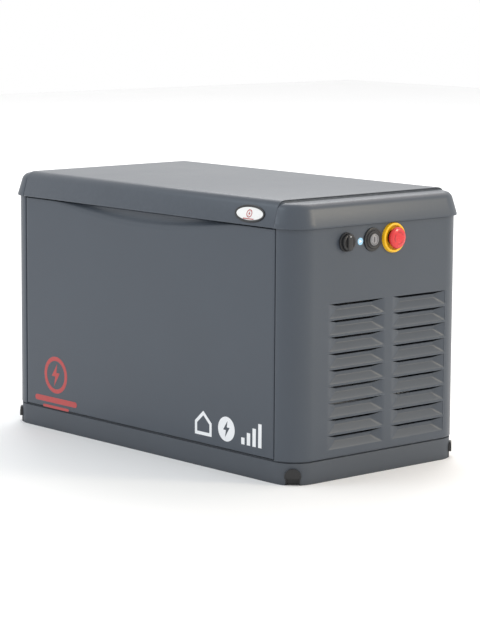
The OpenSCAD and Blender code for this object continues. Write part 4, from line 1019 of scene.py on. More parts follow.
class GENERATOR_OT_stage(Build, bpy.types.Operator):
    """Camera, pale floor and soft studio light."""

    bl_idname = "generator.stage"
    bl_label = "Stage"

    def build(self):
        data = bpy.data.cameras.new("Camera")
        data.lens, data.sensor_width, data.clip_end = 136.7, 36.0, 60.0
        camera = new_piece("Camera", data)
        self.aim(camera, Vector((5.05705, -4.44313, 1.35092)), Vector((0.91072, -0.76702, 0.51486)), 0.34)
        bpy.context.scene.camera = camera
        floor = block("floor", (-14, -14, -0.02), (14, 14, 0.0), 0.005)
        f = Finish("Pale floor", (0.92, 0.92, 0.92), 0.75)
        cloud = f.noise(1.5, 2.0)
        f.feed(Base_Color=f.shade(cloud, dark=0.99, light=1.01), Roughness=cloud * 0.1 + 0.7)
        f.bump(f.noise(120.0), 0.0001, 0.2)
        floor.data.materials.append(f.material)
        world = bpy.data.worlds.new("Studio")
        world.use_nodes = True
        world.node_tree.nodes["Background"].inputs[0].default_value = (1.0, 1.0, 1.0, 1)
        world.node_tree.nodes["Background"].inputs[1].default_value = 1.0
        bpy.context.scene.world = world
        self.area("cool key", (-1.8, -3.6, 3.6), (0.1, -0.1, 0.4), 2.4, 40, (0.76, 0.90, 1.0))
        self.area("warm end light", (4.2, 2.6, 2.4), (0.6, 0.1, 0.35), 1.2, 74, (1.0, 0.88, 0.68))
        self.area("top", (0.2, 1.8, 3.2), (0.0, 0.0, 0.7), 2.4, 20, (1.0, 0.86, 0.78))
        self.area("far floor", (-5.0, 5.0, 6.0), (-5.0, 5.0, 0.0), 6.0, 350, (1.0, 1.0, 1.0))
        bpy.context.scene.view_settings.view_transform = "Standard"

    @staticmethod
    def aim(obj, place, target, roll=0.0):
        turn = (target - place).to_track_quat("-Z", "Y").to_matrix().to_4x4()
        obj.matrix_world = Matrix.Translation(place) @ turn @ Matrix.Rotation(math.radians(roll), 4, "Z")

    def area(self, name, place, target, size, power, tint):
        data = bpy.data.lights.new(name, "AREA")
        data.shape, data.size, data.energy, data.color = "DISK", size, power, tint
        lamp = new_piece(name, data)
        self.aim(lamp, Vector(place), Vector(target))


class GENERATOR_OT_base(Build, bpy.types.Operator):
    """The composite base and its black corner caps."""

    bl_idname = "generator.base"
    bl_label = "Base"

    def build(self):
        dressed("composite_base", "base_tray", "enclosure", "base", "base_composite", 0.0016, 3)
        dressed("base_corner_caps", "corner_caps", "enclosure", "black", "black_plastic", 0.0010, 3)


class GENERATOR_OT_end_panels(Build, bpy.types.Operator):
    """Both louvred end panels."""

    bl_idname = "generator.end_panels"
    bl_label = "End panels"

    def build(self):
        s = sizes()
        low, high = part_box("right_end_panel")
        hx, hy, seam = high.x, high.y, high.x - s.corner
        across, _ = louvre_lines()
        start = s.louvre_shift - s.louvre_width - s.louvre_gap / 2
        stations = [(seam - s.lip, -hy + s.jamb, 0, 1, None), (seam - 0.004, -hy + s.jamb, 0, 1, None)]
        stations += [(seam - 0.0012, -hy + s.jamb, 0.3, 0.95, None), (seam, -hy + s.jamb - 0.002, 1, 0, None)]
        stations += [(seam, -hy + 0.0025, 1, 0, None), (seam + 0.0007, -hy + 0.0007, 0.7, 0.7, None)]
        stations += arc_stations((seam + 0.0025, -hy + s.corner), s.corner, -90, -90, 1)
        stations += arc_stations((seam, -hy + s.corner), s.corner, -86, 0, 22)
        along = sorted(set([start + c * (s.louvre_width + s.louvre_gap) + a for c in range(2) for a in across]
                           + list(np.linspace(-hy + s.corner + 0.012, start - 0.008, 3))))
        stations += [(hx, y, -1, 0, y) for y in along if y < hy - s.corner - 1e-6]
        stations += arc_stations((seam, hy - s.corner), s.corner, 2, 90, 20)
        stations += [(seam + 0.0004, hy - STEEL, 0, -1, None), (seam - s.lip, hy - STEEL, 0, -1, None)]
        rows = sheet_rows(low.z, high.z, s.louvre_rows, s.flange)
        place = Matrix.Translation((hx, start, s.louvre_top - s.louvre_height)) @ Matrix.Rotation(math.pi / 2, 4, "Z")
        sheet = pressed_panel("right_end_sheet", stations, rows, 2, s.louvre_rows, start, place,
                              lambda x, y: x > seam + 0.003)
        sheet = thickened(sheet, (1, 0, 0))
        twin = new_piece("left_end_sheet", sheet.data.copy())
        twin.data.transform(Matrix.Scale(-1, 4, (1, 0, 0)))
        twin.data.flip_normals()
        z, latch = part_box("estop_ring"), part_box("right_latch_cam")
        height = (z[0].z + z[1].z) / 2
        holes = [((hx, (z[0].y + z[1].y) / 2, height), (1, 0, 0), 0.0153)]
        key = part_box("key_cylinder")
        holes.append(((hx, (key[0].y + key[1].y) / 2, height), (1, 0, 0), 0.0153))
        turn = (hx, (latch[0].y + latch[1].y) / 2, height)
        holes.append((turn, (1, 0, 0), 0.01025))
        sheet = cut_holes(sheet, holes)
        twin = cut_holes(twin, [((-hx, turn[1], height), (1, 0, 0), 0.01025)])
        seat(sheet, "enclosure", "right_end_panel", slot="enclosure_paint")
        seat(twin, "enclosure", "left_end_panel", slot="enclosure_paint")


class GENERATOR_OT_rear_panel(Build, bpy.types.Operator):
    """The rear panel with its own louvres."""

    bl_idname = "generator.rear_panel"
    bl_label = "Rear panel"

    def build(self):
        s = sizes()
        low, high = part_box("rear_panel")
        across, _ = louvre_lines()
        start = -0.010
        columns = 2
        run = sorted(set([-(start - c * (s.louvre_width + s.louvre_gap) - a) for c in range(columns) for a in across]
                         + list(np.linspace(-high.x, -start - 0.02, 9))
                         + list(np.linspace(-start + 0.46, high.x, 3))))
        stations = [(-t, high.y, 0, -1, t) for t in run]
        rows = sheet_rows(low.z, high.z, s.rear_rows, s.flange * 0.9)
        place = (Matrix.Translation((start, high.y, s.louvre_top - s.louvre_height))
                 @ Matrix.Rotation(math.pi, 4, "Z"))
        sheet = pressed_panel("rear_sheet", stations, rows, columns, s.rear_rows, -start, place,
                              lambda x, y: abs(x) < high.x - 0.022)
        sheet = thickened(sheet, (0, 1, 0))
        sheet = cut_holes(sheet, [((GAS_INLET[0], high.y, GAS_INLET[1]), (0, 1, 0), 0.0113),
                                  ((CONDUIT_HUB[0], high.y, CONDUIT_HUB[1]), (0, 1, 0), 0.0203)])
        seat(sheet, "enclosure", "rear_panel", slot="enclosure_paint")
        dressed("front_top_rail", "front_rail", "enclosure", "paint", "enclosure_paint", 0.0008)


class GENERATOR_OT_front_panel(Build, bpy.types.Operator):
    """The lift-off front panel with its finger scoop and printed marks."""

    bl_idname = "generator.front_panel"
    bl_label = "Front panel"

    def build(self):
        s = sizes()
        low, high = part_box("front_panel")
        bend, back = s.bend, high.y
        front = low.y
        z0 = 0.063
        radius = ((s.scoop_length / 2) ** 2 + s.scoop_height ** 2) / (2 * s.scoop_height)
        centre = high.z - s.scoop_height + radius
        arc = np.linspace(0, math.pi / 2, 5)[1:]
        round_off = [(bend * math.sin(a), bend * (1 - math.cos(a))) for a in arc]

        def edge(lo, hi, inner):
            outs = [(lo, back - front)] + [(lo + bend - a, d) for a, d in reversed(round_off)]
            outs += [(v, 0.0) for v in inner]
            return outs + [(hi - bend + a, d) for a, d in round_off] + [(hi, back - front)]

        columns = edge(low.x, high.x, np.linspace(low.x + bend, high.x - bend, 111))
        lower = list(np.linspace(z0 + bend, high.z - s.scoop_height - 0.012, 12))
        upper = list(np.linspace(high.z - s.scoop_height - 0.010, high.z - bend, 26))
        rows = edge(z0, high.z, lower + upper)
        points, faces = [], []
        for z, dz in rows:
            for x, dx in columns:
                into = (radius - math.hypot(x, z - centre)) / s.scoop_run
                dish = s.scoop_depth * float(eased(into, 0.42, 0.42))
                points.append((x, front + min(back - front, dish + max(dx, dz)), z))
        n = len(columns)
        for j in range(len(rows) - 1):
            for i in range(n - 1):
                faces.append([j * n + i, j * n + i + 1, (j + 1) * n + i + 1, (j + 1) * n + i])
        sheet = mesh_from("front_sheet", points, faces, outward=False)
        sheet = thickened(sheet, (0, -1, 0), STEEL * 0.9)
        hooks = [block(f"hook_{k}", (x - 0.025, front + 0.008, 0.0603), (x + 0.025, back, z0 + 0.003), 0.0006)
                 for k, x in enumerate((-0.4, 0.4))]
        for hook in hooks:
            set_finish(hook, "paint")
        panel = joined("front_door_sheet", [sheet] + hooks)
        seat(panel, "front_door", "front_panel", slot="enclosure_paint")
        self.marks(front)

    def marks(self, front):
        """A red ring with a bolt over two bars, and three white pictograms."""
        upright = Matrix.Rotation(math.pi / 2, 4, "X")

        def put(name, outlines, x, z, key):
            place = Matrix.Translation((x, front - PROUD / 2, z)) @ upright
            mark = flat_mark(name, outlines, PROUD, place)
            set_finish(mark, key)
            seat(mark, "front_door")

        put("red_ring_mark", [circle_points(0.053, 72), circle_points(0.041, 72), bolt_points(0.066)],
            -0.393, 0.160, "mark red")
        bar = rounded_outline([(-0.097, -0.008), (0.097, -0.008), (0.097, 0.008), (-0.097, 0.008)], [0.0078] * 4)
        thin = rounded_outline([(-0.060, -0.004), (0.060, -0.004), (0.060, 0.004), (-0.060, 0.004)], [0.0038] * 4)
        put("red_bar_mark", [bar, [(a, b - 0.020) for a, b in thin]], -0.393, 0.086, "mark red")
        house = [(-0.034, -0.030), (0.034, -0.030), (0.034, 0.006), (0.0, 0.036), (-0.034, 0.006)]
        inner = [(-0.025, -0.021), (0.025, -0.021), (0.025, 0.002), (0.0, 0.024), (-0.025, 0.002)]
        put("white_house_mark", [house, inner], 0.252, 0.115, "white mark and painted glint")
        put("white_bolt_mark", [circle_points(0.033, 56), bolt_points(0.046)], 0.345, 0.1155, "white mark and painted glint")
        bars = []
        for k in range(4):
            x = -0.036 + k * 0.022
            bars.append([(x, -0.030), (x + 0.013, -0.030), (x + 0.013, -0.012 + k * 0.015), (x, -0.012 + k * 0.015)])
        put("white_level_mark", bars, 0.440, 0.115, "white mark and painted glint")


class GENERATOR_OT_roof(Build, bpy.types.Operator):
    """The hinged roof: raised centre section, two end caps and the foam below."""

    bl_idname = "generator.roof"
    bl_label = "Roof"

    def build(self):
        dressed("roof_middle_skin", "roof_centre", "lid", "paint", "enclosure_paint", 0.0012, 3)
        dressed("roof_left_end", "roof_left_cap", "lid", "paint", "enclosure_paint", 0.0012, 3)
        dressed("roof_right_end", "roof_right_cap", "lid", "paint", "enclosure_paint", 0.0012, 3)
        dressed("roof_catches", "latch_catches", "lid", "zinc", "zinc_steel", 0.0006)
        self.foam()

    def foam(self):
        d = details()
        low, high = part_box("roof_insulation")
        nx, ny = 150, 84
        xs, ys = np.linspace(low.x, high.x, nx), np.linspace(low.y, high.y, ny)
        gx, gy = np.meshgrid(xs, ys)
        wave = np.cos(2 * math.pi * gx / d.foam_pitch) * np.cos(2 * math.pi * gy / d.foam_pitch)
        rim = np.minimum.reduce([gx - low.x, high.x - gx, gy - low.y, high.y - gy])
        under = low.z + d.foam_peak * (0.5 + 0.5 * wave * np.clip(rim / 0.012, 0, 1))
        points = [(gx[j, i], gy[j, i], under[j, i]) for j in range(ny) for i in range(nx)]
        faces = [[j * nx + i, (j + 1) * nx + i, (j + 1) * nx + i + 1, j * nx + i + 1]
                 for j in range(ny - 1) for i in range(nx - 1)]
        ring = ([i for i in range(nx)] + [j * nx + nx - 1 for j in range(1, ny)]
                + [(ny - 1) * nx + i for i in range(nx - 2, -1, -1)] + [j * nx for j in range(ny - 2, 0, -1)])
        start = len(points)
        points += [(points[i][0], points[i][1], high.z) for i in ring]
        m = len(ring)
        faces += [[ring[k], ring[(k + 1) % m], start + (k + 1) % m, start + k] for k in range(m)]
        faces.append([start + k for k in range(m)])
        foam = mesh_from("waved_foam", points, faces)
        smooth(foam, 40)
        set_finish(foam, "foam")
        seat(foam, "lid", "roof_insulation", slot="insulation_foam")


class GENERATOR_OT_badge(Build, bpy.types.Operator):
    """The oval badge: black bezel, domed white face and a small red ring and bolt."""

    bl_idname = "generator.badge"
    bl_label = "Badge"

    def build(self):
        low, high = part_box("badge")
        lean = math.radians(90 - RAKE)
        middle = (low + high) / 2
        place = Matrix.Translation((middle.x, middle.y + 0.0006, middle.z)) @ Matrix.Rotation(lean, 4, "X")
        half_w, half_h = (high.x - low.x) / 2, 0.0232
        steps = 72

        def oval_rings(rings):
            points, faces = [], []
            for inset, t in rings:
                for i in range(steps):
                    a = 2 * math.pi * i / steps
                    points.append(place @ Vector(((half_w - inset) * math.cos(a), (half_h - inset) * math.sin(a), t)))
            for k in range(len(rings) - 1):
                for i in range(steps):
                    j = (i + 1) % steps
                    faces.append([k * steps + i, k * steps + j, (k + 1) * steps + j, (k + 1) * steps + i])
            faces.append(list(range(steps)))
            faces.append([(len(rings) - 1) * steps + i for i in range(steps)])
            return points, faces

        bezel = [(0.0002, -0.0020), (0.0, -0.0010), (0.0, 0.0008), (0.0006, 0.0015), (0.0018, 0.0019),
                 (0.0038, 0.0018), (0.0052, 0.0012), (0.0059, 0.0004), (0.0060, -0.0002)]
        points, faces = oval_rings(bezel)
        rim = set_finish(smooth(mesh_from("badge_bezel", points, faces), 50), "black")
        dome = [(0.0060, -0.0001), (0.0064, 0.0005)]
        dome += [(0.0064 + (half_h - 0.0072) * k / 8, 0.0005 + 0.0009 * (1 - (1 - k / 8) ** 2)) for k in range(1, 9)]
        points, faces = oval_rings(dome)
        face = set_finish(smooth(mesh_from("badge_face", points, faces), 50), "badge white")
        seat(rim, "lid", "badge", slot="badge_face")
        seat(face, "lid")
        lift = place @ Matrix.Translation((0, 0, 0.0014 + PROUD / 2))
        mark = flat_mark("badge_mark", [circle_points(0.0105, 48), circle_points(0.0082, 48), bolt_points(0.0135)],
                         PROUD * 2, lift)
        seat(set_finish(mark, "mark red"), "lid")
        lines = [[(a, -0.0148), (a + w, -0.0148), (a + w, -0.0128), (a, -0.0128)] for a, w in ((-0.020, 0.040),)]
        bar = flat_mark("badge_bar", lines, PROUD * 2, lift)
        seat(set_finish(bar, "mark red"), "lid")


class GENERATOR_OT_hinges(Build, bpy.types.Operator):
    """Roof hinges and their rivets."""

    bl_idname = "generator.hinges"
    # Roof hinges: the fixed leaves and the leaves on the lid.
    bl_label = "Hinges"

    def build(self):
        dressed("hinge_lower_leaves", "hinge_fixed_leaves", "enclosure", "zinc", "zinc_steel", 0.0004)
        dressed("hinge_upper_leaves", "hinge_lid_leaves", "lid", "zinc", "zinc_steel", 0.0004)


class GENERATOR_OT_latches(Build, bpy.types.Operator):
    """Round quarter-turn latch knobs and their cams, one on each end."""

    bl_idname = "generator.latches"
    bl_label = "Latches"

    def build(self):
        for side, sign in (("right", 1), ("left", -1)):
            low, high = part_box(f"{side}_latch_knob")
            y, z = (low.y + high.y) / 2, (low.z + high.z) / 2
            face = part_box(f"{side}_end_panel")[1 if sign > 0 else 0].x
            body = f"{side}_latch"
            r = (high.y - low.y) / 2
            outline = [(0, -0.034), (0.0095, -0.034), (0.0100, -0.0335), (0.0100, 0.0003), (r - 0.0012, 0.0003),
                       (r, 0.0014), (r, 0.0036), (r - 0.0010, 0.0050), (r - 0.0022, 0.0056), (r - 0.0026, 0.0064),
                       (r - 0.0026, 0.0130), (r - 0.0032, 0.0148), (r - 0.0048, 0.0160), (r - 0.0080, 0.0164),
                       (0.0150, 0.0150), (0.0080, 0.0146), (0, 0.0145)]
            knob = smooth(turned("knob", outline, (face, y, z), (sign, 0, 0), 120, 30, 0.0007, (9, 12)), 40)
            ends = sorted((face + sign * 0.010, face + sign * 0.0186))
            grip = block("grip", (ends[0], y - 0.0078, z - 0.0205), (ends[1], y + 0.0078, z + 0.0205), 0.0026, 4)
            for part in (knob, grip):
                set_finish(part, "black")
            # A small white dot on each knob's face: a painted glint, standing in for the highlight on the black knob.
            painted_glint_dot = turned("dot", [(0, 0.0182), (0.0014, 0.0182), (0.0016, 0.0186), (0.0014, 0.0189), (0, 0.0190)],
                          (face, y, z + 0.0150), (sign, 0, 0), 24)
            set_finish(smooth(painted_glint_dot), "white mark and painted glint")
            whole = joined(f"{side}_knob", [knob, grip, painted_glint_dot])
            seat(whole, body, f"{side}_latch_knob", slot="black_plastic")
            dressed(f"{side}_cam", f"{side}_latch_cam", body, "zinc", "zinc_steel", 0.0005)


class GENERATOR_OT_key_switch(Build, bpy.types.Operator):
    """The key switch and the small pointer sticker beside it."""

    bl_idname = "generator.key_switch"
    bl_label = "Key switch"

    def build(self):
        low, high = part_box("key_switch_body")
        y, z = (low.y + high.y) / 2, (low.z + high.z) / 2
        face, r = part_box("right_end_panel")[1].x, (high.y - low.y) / 2
        deep = low.x - face
        outline = [(0.0116, -0.037), (0.0116, 0.0080), (0.0126, 0.0088), (0.0160, 0.0086), (0.0172, 0.0078),
                   (0.0176, 0.0068), (0.0200, 0.0066), (0.0212, 0.0072), (0.0226, 0.0071), (0.0236, 0.0060),
                   (0.0242, 0.0042), (0.0262, 0.0040), (0.0280, 0.0044), (r - 0.0014, 0.0042), (r - 0.0003, 0.0034),
                   (r, 0.0020), (r, 0.0002), (0.0220, 0.0002), (0.0150, 0.0002), (0.0150, -0.0022),
                   (0.0218, -0.0022), (0.0218, -0.0096), (0.0150, -0.0096), (0.0150, deep + 0.001),
                   (0.0142, deep), (0, deep), (0, -0.037)]
        body = smooth(turned("key_switch_housing", outline, (face, y, z), (1, 0, 0), 96), 38)
        seat(set_finish(body, "black"), "enclosure", "key_switch_body", slot="black_plastic")
        ring = smooth(turned("key_switch_ring", [(0.0122, 0.0086), (0.0124, 0.0092), (0.0146, 0.0094),
                                                 (0.0152, 0.0088), (0.0150, 0.0084)],
                             (face, y, z), (1, 0, 0), 72), 50)
        seat(set_finish(ring, "core"), "enclosure")
        dressed("key_core", "key_cylinder", "key_core", "core", "key_steel", 0.0005)
        turn = Matrix.Rotation(math.pi / 2, 4, "Z") @ Matrix.Rotation(math.pi / 2, 4, "X")
        stick = Matrix.Translation((face + PROUD / 2, y - 0.043, z - 0.002)) @ turn
        seat(set_finish(flat_mark("pointer_sticker", [circle_points(0.0095, 40)], PROUD, stick), "mark blue"),
             "enclosure")
        arrow = [(-0.0045, -0.0055), (0.0065, 0.0), (-0.0045, 0.0055)]
        lift = Matrix.Translation((PROUD, 0, 0)) @ stick
        seat(set_finish(flat_mark("pointer_arrow", [arrow], PROUD, lift), "white mark and painted glint"), "enclosure")


class GENERATOR_OT_stop_button(Build, bpy.types.Operator):
    """The emergency stop: yellow ring, black collar and red mushroom head."""

    bl_idname = "generator.stop_button"
    bl_label = "Emergency stop"

    def build(self):
        low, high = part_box("estop_ring")
        y, z, face = (low.y + high.y) / 2, (low.z + high.z) / 2, low.x
        r = (high.y - low.y) / 2
        tall = high.x - face
        ring = [(0.0154, 0.0001), (0.0154, 0.0018), (0.0300, 0.0019), (0.0314, 0.0028), (0.0316, tall - 0.0016),
                (0.0321, tall - 0.0006), (0.0332, tall), (0.0364, tall), (0.0380, tall - 0.0006),
                (0.0386, tall - 0.0018), (r - 0.0003, 0.0012), (r, 0.0001)]
        disc = smooth(turned("stop_yellow_ring", ring, (face, y, z), (1, 0, 0), 96), 45)
        seat(set_finish(disc, "yellow"), "enclosure", "estop_ring", slot="yellow_plastic")
        dressed("stop_contact_housing", "estop_housing", "enclosure", "black", "black_plastic", 0.0007)
        dressed("stop_stem_rod", "estop_plunger", "stop_stem", "zinc", "zinc_steel", 0.0004)
        low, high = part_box("estop_head")
        r, base, top = (high.y - low.y) / 2, low.x - face, high.x - face
        head = [(0.0061, base), (r - 0.0062, base), (r - 0.0052, base + 0.0006), (r - 0.0050, base + 0.0046),
                (r - 0.0016, base + 0.0050), (r - 0.0004, base + 0.0062), (r, base + 0.0080),
                (r - 0.0004, base + 0.0104), (r - 0.0018, base + 0.0128), (r - 0.0044, base + 0.0144),
                (r - 0.0080, top - 0.0012),
                (0.0140, top - 0.0002), (0.0070, top), (0, top), (0, base + 0.0124), (0.0061, base + 0.0124)]
        knob = smooth(turned("stop_red_head", head, (face, y, z), (1, 0, 0), 96, 24, 0.0005, (5, 7)), 50)
        seat(set_finish(knob, "red"), "stop_button", "estop_head", slot="red_plastic")
        marks = []
        for k in range(3):
            arc = [(0.0165 * math.cos(a), 0.0165 * math.sin(a)) for a in np.linspace(0.35, 1.75, 14)]
            arc += [(0.0140 * math.cos(a), 0.0140 * math.sin(a)) for a in np.linspace(1.75, 0.35, 14)]
            turn = 2 * math.pi * k / 3
            marks.append([(a * math.cos(turn) - b * math.sin(turn), a * math.sin(turn) + b * math.cos(turn))
                          for a, b in arc])
        aim = Matrix.Rotation(math.pi / 2, 4, "Z") @ Matrix.Rotation(math.pi / 2, 4, "X")
        place = Matrix.Translation((face + top - 0.0004, y, z)) @ aim
        seat(set_finish(flat_mark("stop_turn_marks", marks, 0.0008, place), "mark red"), "stop_button")


class GENERATOR_OT_engine(Build, bpy.types.Operator):
    """The V-twin engine, its flywheel, blower, starter and plugs."""

    bl_idname = "generator.engine"
    bl_label = "Engine"

    def build(self):
        for name, node, body, key, slot, width in (
                ("engine_crankcase", "crankcase", "enclosure", "casting", "cast_aluminium", 0.0020),
                ("left_cylinder_barrel", "left_cylinder", "enclosure", "casting", "cast_aluminium", 0.0007),
                ("right_cylinder_barrel", "right_cylinder", "enclosure", "casting", "cast_aluminium", 0.0007),
                ("left_head_casting", "left_cylinder_head", "enclosure", "casting", "cast_aluminium", 0.0008),
                ("right_head_casting", "right_cylinder_head", "enclosure", "casting", "cast_aluminium", 0.0008),
                ("valve_covers", "rocker_covers", "enclosure", "enamel", "black_paint", 0.0016),
                ("forged_crankshaft", "crankshaft", "crank_group", "steel", "zinc_steel", 0.0010),
                ("finned_flywheel", "flywheel", "crank_group", "iron", "flywheel_iron", 0.0006),
                ("blower_shroud", "blower_housing", "enclosure", "enamel", "black_paint", 0.0012),
                ("spin_on_oil_filter", "oil_filter", "enclosure", "white", "filter_can", 0.0012),
                ("oil_dipstick", "dipstick", "oil_dipstick", "yellow", "yellow_plastic", 0.0008),
                ("starter_case", "starter_motor", "enclosure", "enamel", "black_paint", 0.0012),
                ("starter_gear", "starter_pinion", "starter_drive", "steel", "zinc_steel", 0.0003)):
            dressed(name, node, body, key, slot, width)
        self.plugs()
        self.bolts()

    @staticmethod
    def around(angle, along, side, up):
        crank = crank_centre()
        a = math.radians(angle)
        return Vector((crank[0] + along * math.cos(a) - side * math.sin(a),
                       crank[1] + along * math.sin(a) + side * math.cos(a), up))

    def plugs(self):
        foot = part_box("spark_plugs")[0].z
        parts = []
        for angle in (-135, -45):
            at = self.around(angle, 0.197, 0, 0)
            lower = [(0, 0), (0.0105, 0), (0.0110, 0.0006), (0.0110, 0.0056), (0.0104, 0.0062), (0.0068, 0.0064),
                     (0.0070, 0.0090), (0.0058, 0.0100), (0.0068, 0.0112), (0.0056, 0.0124), (0.0064, 0.0138),
                     (0.0052, 0.0150), (0.0050, 0.0220), (0, 0.0220)]
            plug = smooth(turned("plug", lower, (at.x, at.y, foot), (0, 0, 1), 36), 50)
            boot = [(0, 0.0180), (0.0088, 0.0180), (0.0096, 0.0190), (0.0096, 0.0290), (0.0100, 0.0300),
                    (0.0100, 0.0340), (0.0094, 0.0350), (0.0090, 0.0420), (0.0074, 0.0438), (0, 0.0440)]
            cap = smooth(turned("boot", boot, (at.x, at.y, foot), (0, 0, 1), 40), 50)
            parts += [set_finish(plug, "ceramic"), set_finish(cap, "rubber")]
        seat(joined("spark_plugs_and_boots", parts), "enclosure", "spark_plugs", slot="plug_ceramic")

    def bolts(self):
        d = details()
        places = []
        low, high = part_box("rocker_covers")
        mid = (low.z + high.z) / 2
        for angle in (-135, -45):
            way = self.around(angle, 1, 0, 0) - self.around(angle, 0, 0, 0)
            for side, up in ((-0.0445, -0.038), (0.0445, -0.038), (-0.0445, 0.038), (0.0445, 0.038)):
                places.append((self.around(angle, 0.2270, side, mid + up), way))
        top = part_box("blower_housing")[1].z
        for k in range(8):
            a = 22.5 + k * 45
            places.append((self.around(a, 0.128, 0, top), Vector((0, 0, 1))))
        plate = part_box("crankcase")[0].z + 0.017
        for k in range(8):
            places.append((self.around(k * 45 + 22.5, 0.106, 0, plate + 0.006), Vector((0, 0, 1))))
        fasteners("engine_bolts", "enclosure", places, d.bolt_radius * 0.75, 0.0045)


class GENERATOR_OT_alternator(Build, bpy.types.Operator):
    """The alternator and the rubber mounts under it."""

    bl_idname = "generator.alternator"
    bl_label = "Alternator"

    def build(self):
        dressed("alternator_can", "alternator_housing", "enclosure", "grey enamel", "alternator_paint", 0.0010)
        dressed("stator_core", "alternator_stator", "enclosure", "laminations", "laminations", 0.0020)
        dressed("rotor_core", "alternator_rotor", "crank_group", "copper", "rotor_winding", 0.0015)
        dressed("rubber_mounts", "engine_mounts", "enclosure", "rubber", "rubber", 0.0020, 3)
        low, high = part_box("alternator_housing")
        mid = (low + high) / 2
        places = [((mid.x + a * 0.110, mid.y + b * 0.110, low.z + 0.010), (0, 0, 1))
                  for a in (-1, 1) for b in (-1, 1)]
        fasteners("mount_bolts", "enclosure", places, details().bolt_radius, 0.006)


class GENERATOR_OT_air_and_fuel(Build, bpy.types.Operator):
    """Air cleaner, intake, gas regulator and gas hose."""

    bl_idname = "generator.air_and_fuel"
    bl_label = "Air and fuel"

    def build(self):
        dressed("air_box", "air_cleaner_body", "enclosure", "black", "black_plastic", 0.0020, 3)
        dressed("pleated_filter", "air_filter", "enclosure", "paper", "filter_paper", 0.0008)
        dressed("air_box_cover", "air_cleaner_cover", "air_cover", "black", "black_plastic", 0.0024, 3)
        dressed("intake_pipes", "intake_manifold", "enclosure", "casting", "cast_aluminium", 0.0014)
        dressed("gas_regulator", "fuel_regulator", "enclosure", "casting", "cast_aluminium", 0.0016)
        dressed("gas_inlet_pipe", "fuel_line", "enclosure", "zinc", "rubber", 0.0006,
                keep=lambda low, high: high[1] > 0.30)
        x, y, z = REGULATOR
        barb = [(0, 0), (0.0094, 0), (0.0094, 0.004), (0.0080, 0.006), (0.0094, 0.010), (0.0080, 0.012),
                (0.0094, 0.016), (0.0080, 0.018), (0.0080, 0.034), (0, 0.034)]
        stub = smooth(turned("gas_hose_barb", barb, (x - 0.092, y, z), (1, 0, 0), 36), 40)
        seat(set_finish(stub, "zinc"), "enclosure")
        crank = crank_centre()
        end = (crank[0] + 0.0193, crank[1] - 0.170, 0.443)
        route = [(x - 0.090, y, z), (-0.110, 0.200, 0.380), (-0.130, 0.150, 0.445), (-0.095, 0.060, 0.452),
                 (-0.092, -0.060, 0.450), (-0.150, -0.116, 0.445), end]
        hose("gas_hose", "enclosure", route, details().hose_radius, "rubber")
        clips = [turned("clip", [(0.0086, -0.004), (0.0098, -0.004), (0.0102, 0), (0.0098, 0.004), (0.0086, 0.004)],
                        at, way, 40) for at, way in (((x - 0.086, y, z), (1, 0, -0.35)),
                                                     ((end[0] + 0.012, end[1], end[2]), (1, 0, 0)))]
        seat(set_finish(smooth(joined("hose_clips", clips), 40), "steel"), "enclosure")


class GENERATOR_OT_exhaust(Build, bpy.types.Operator):
    """Exhaust pipes, the hot-bay bulkhead and the muffler."""

    bl_idname = "generator.exhaust"
    bl_label = "Exhaust"

    def build(self):
        dressed("exhaust_headers", "exhaust_pipes", "enclosure", "hot", "exhaust_steel", 0.0010)
        dressed("bay_bulkhead", "exhaust_bulkhead", "enclosure", "zinc", "zinc_steel", 0.0006)
        dressed("muffler_shell", "muffler", "enclosure", "muffler", "muffler_steel", 0.0025, 3)
        low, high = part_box("exhaust_bulkhead")
        places = [((high.x - 0.010, y, low.z + 0.002), (0, 0, 1))
                  for y in np.linspace(low.y + 0.03, high.y - 0.03, 6)]
        fasteners("bay_bolts", "enclosure", places, details().bolt_radius * 0.8, 0.0045)


class GENERATOR_OT_battery(Build, bpy.types.Operator):
    """The starting battery, its tray and its two cables."""

    bl_idname = "generator.battery"
    bl_label = "Battery"

    def build(self):
        dressed("battery_tray", "battery_holder", "enclosure", "enamel", "black_paint", 0.0008)
        dressed("battery_case", "battery", "enclosure", "case", "battery_case", 0.0030, 3)
        low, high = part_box("battery")
        x = (low.x + high.x) / 2
        post = (high.x - low.x) / 2 - 0.030
        y, z = high.y - 0.026, high.z
        crank = crank_centre()
        plus = [(x - post, y, z + 0.008), (0.090, y + 0.005, z + 0.034), (0.050, -0.060, 0.270),
                (0.030, 0.040, 0.280), (-0.020, 0.140, 0.286), (-0.110, 0.178, 0.288),
                (crank[0] + 0.0353, crank[1] + 0.133, 0.290)]
        minus = [(x + post, y, z + 0.008), (0.240, y + 0.030, z + 0.030), (0.170, -0.050, 0.262),
                 (0.080, 0.020, 0.254), (0.0, 0.090, 0.250), (-0.080, 0.104, 0.250),
                 (crank[0] + 0.0953, 0.104, 0.250)]
        radius = details().cable_radius
        hose("red_battery_cable", "enclosure", plus, radius, "red cable")
        hose("black_battery_cable", "enclosure", minus, radius, "rubber")
        lugs = []
        for sign in (-1, 1):
            outline = [(0.0083, -0.012), (0.0125, -0.012), (0.0130, -0.0105), (0.0130, 0.002), (0.0122, 0.004),
                       (0.0060, 0.0042), (0.0054, 0.0080), (0, 0.0082), (0, 0.0003), (0.0083, 0.0003)]
            lugs.append(smooth(turned("lug", outline, (x + sign * post, y, z), (0, 0, 1), 40), 40))
        clamp = set_finish(joined("battery_lugs", lugs), "zinc")
        seat(clamp, "enclosure", "battery_cables", slot="cable")
        caps = [((x + k * 0.030, (low.y + high.y) / 2 - 0.030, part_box("battery")[1].z - 0.0162), (0, 0, 1))
                for k in (-2.5, -1.5, -0.5, 0.5, 1.5, 2.5)]
        fasteners("battery_vent_caps", "enclosure", caps, 0.0085, 0.005, key="case", sides=24, washer=1.15)


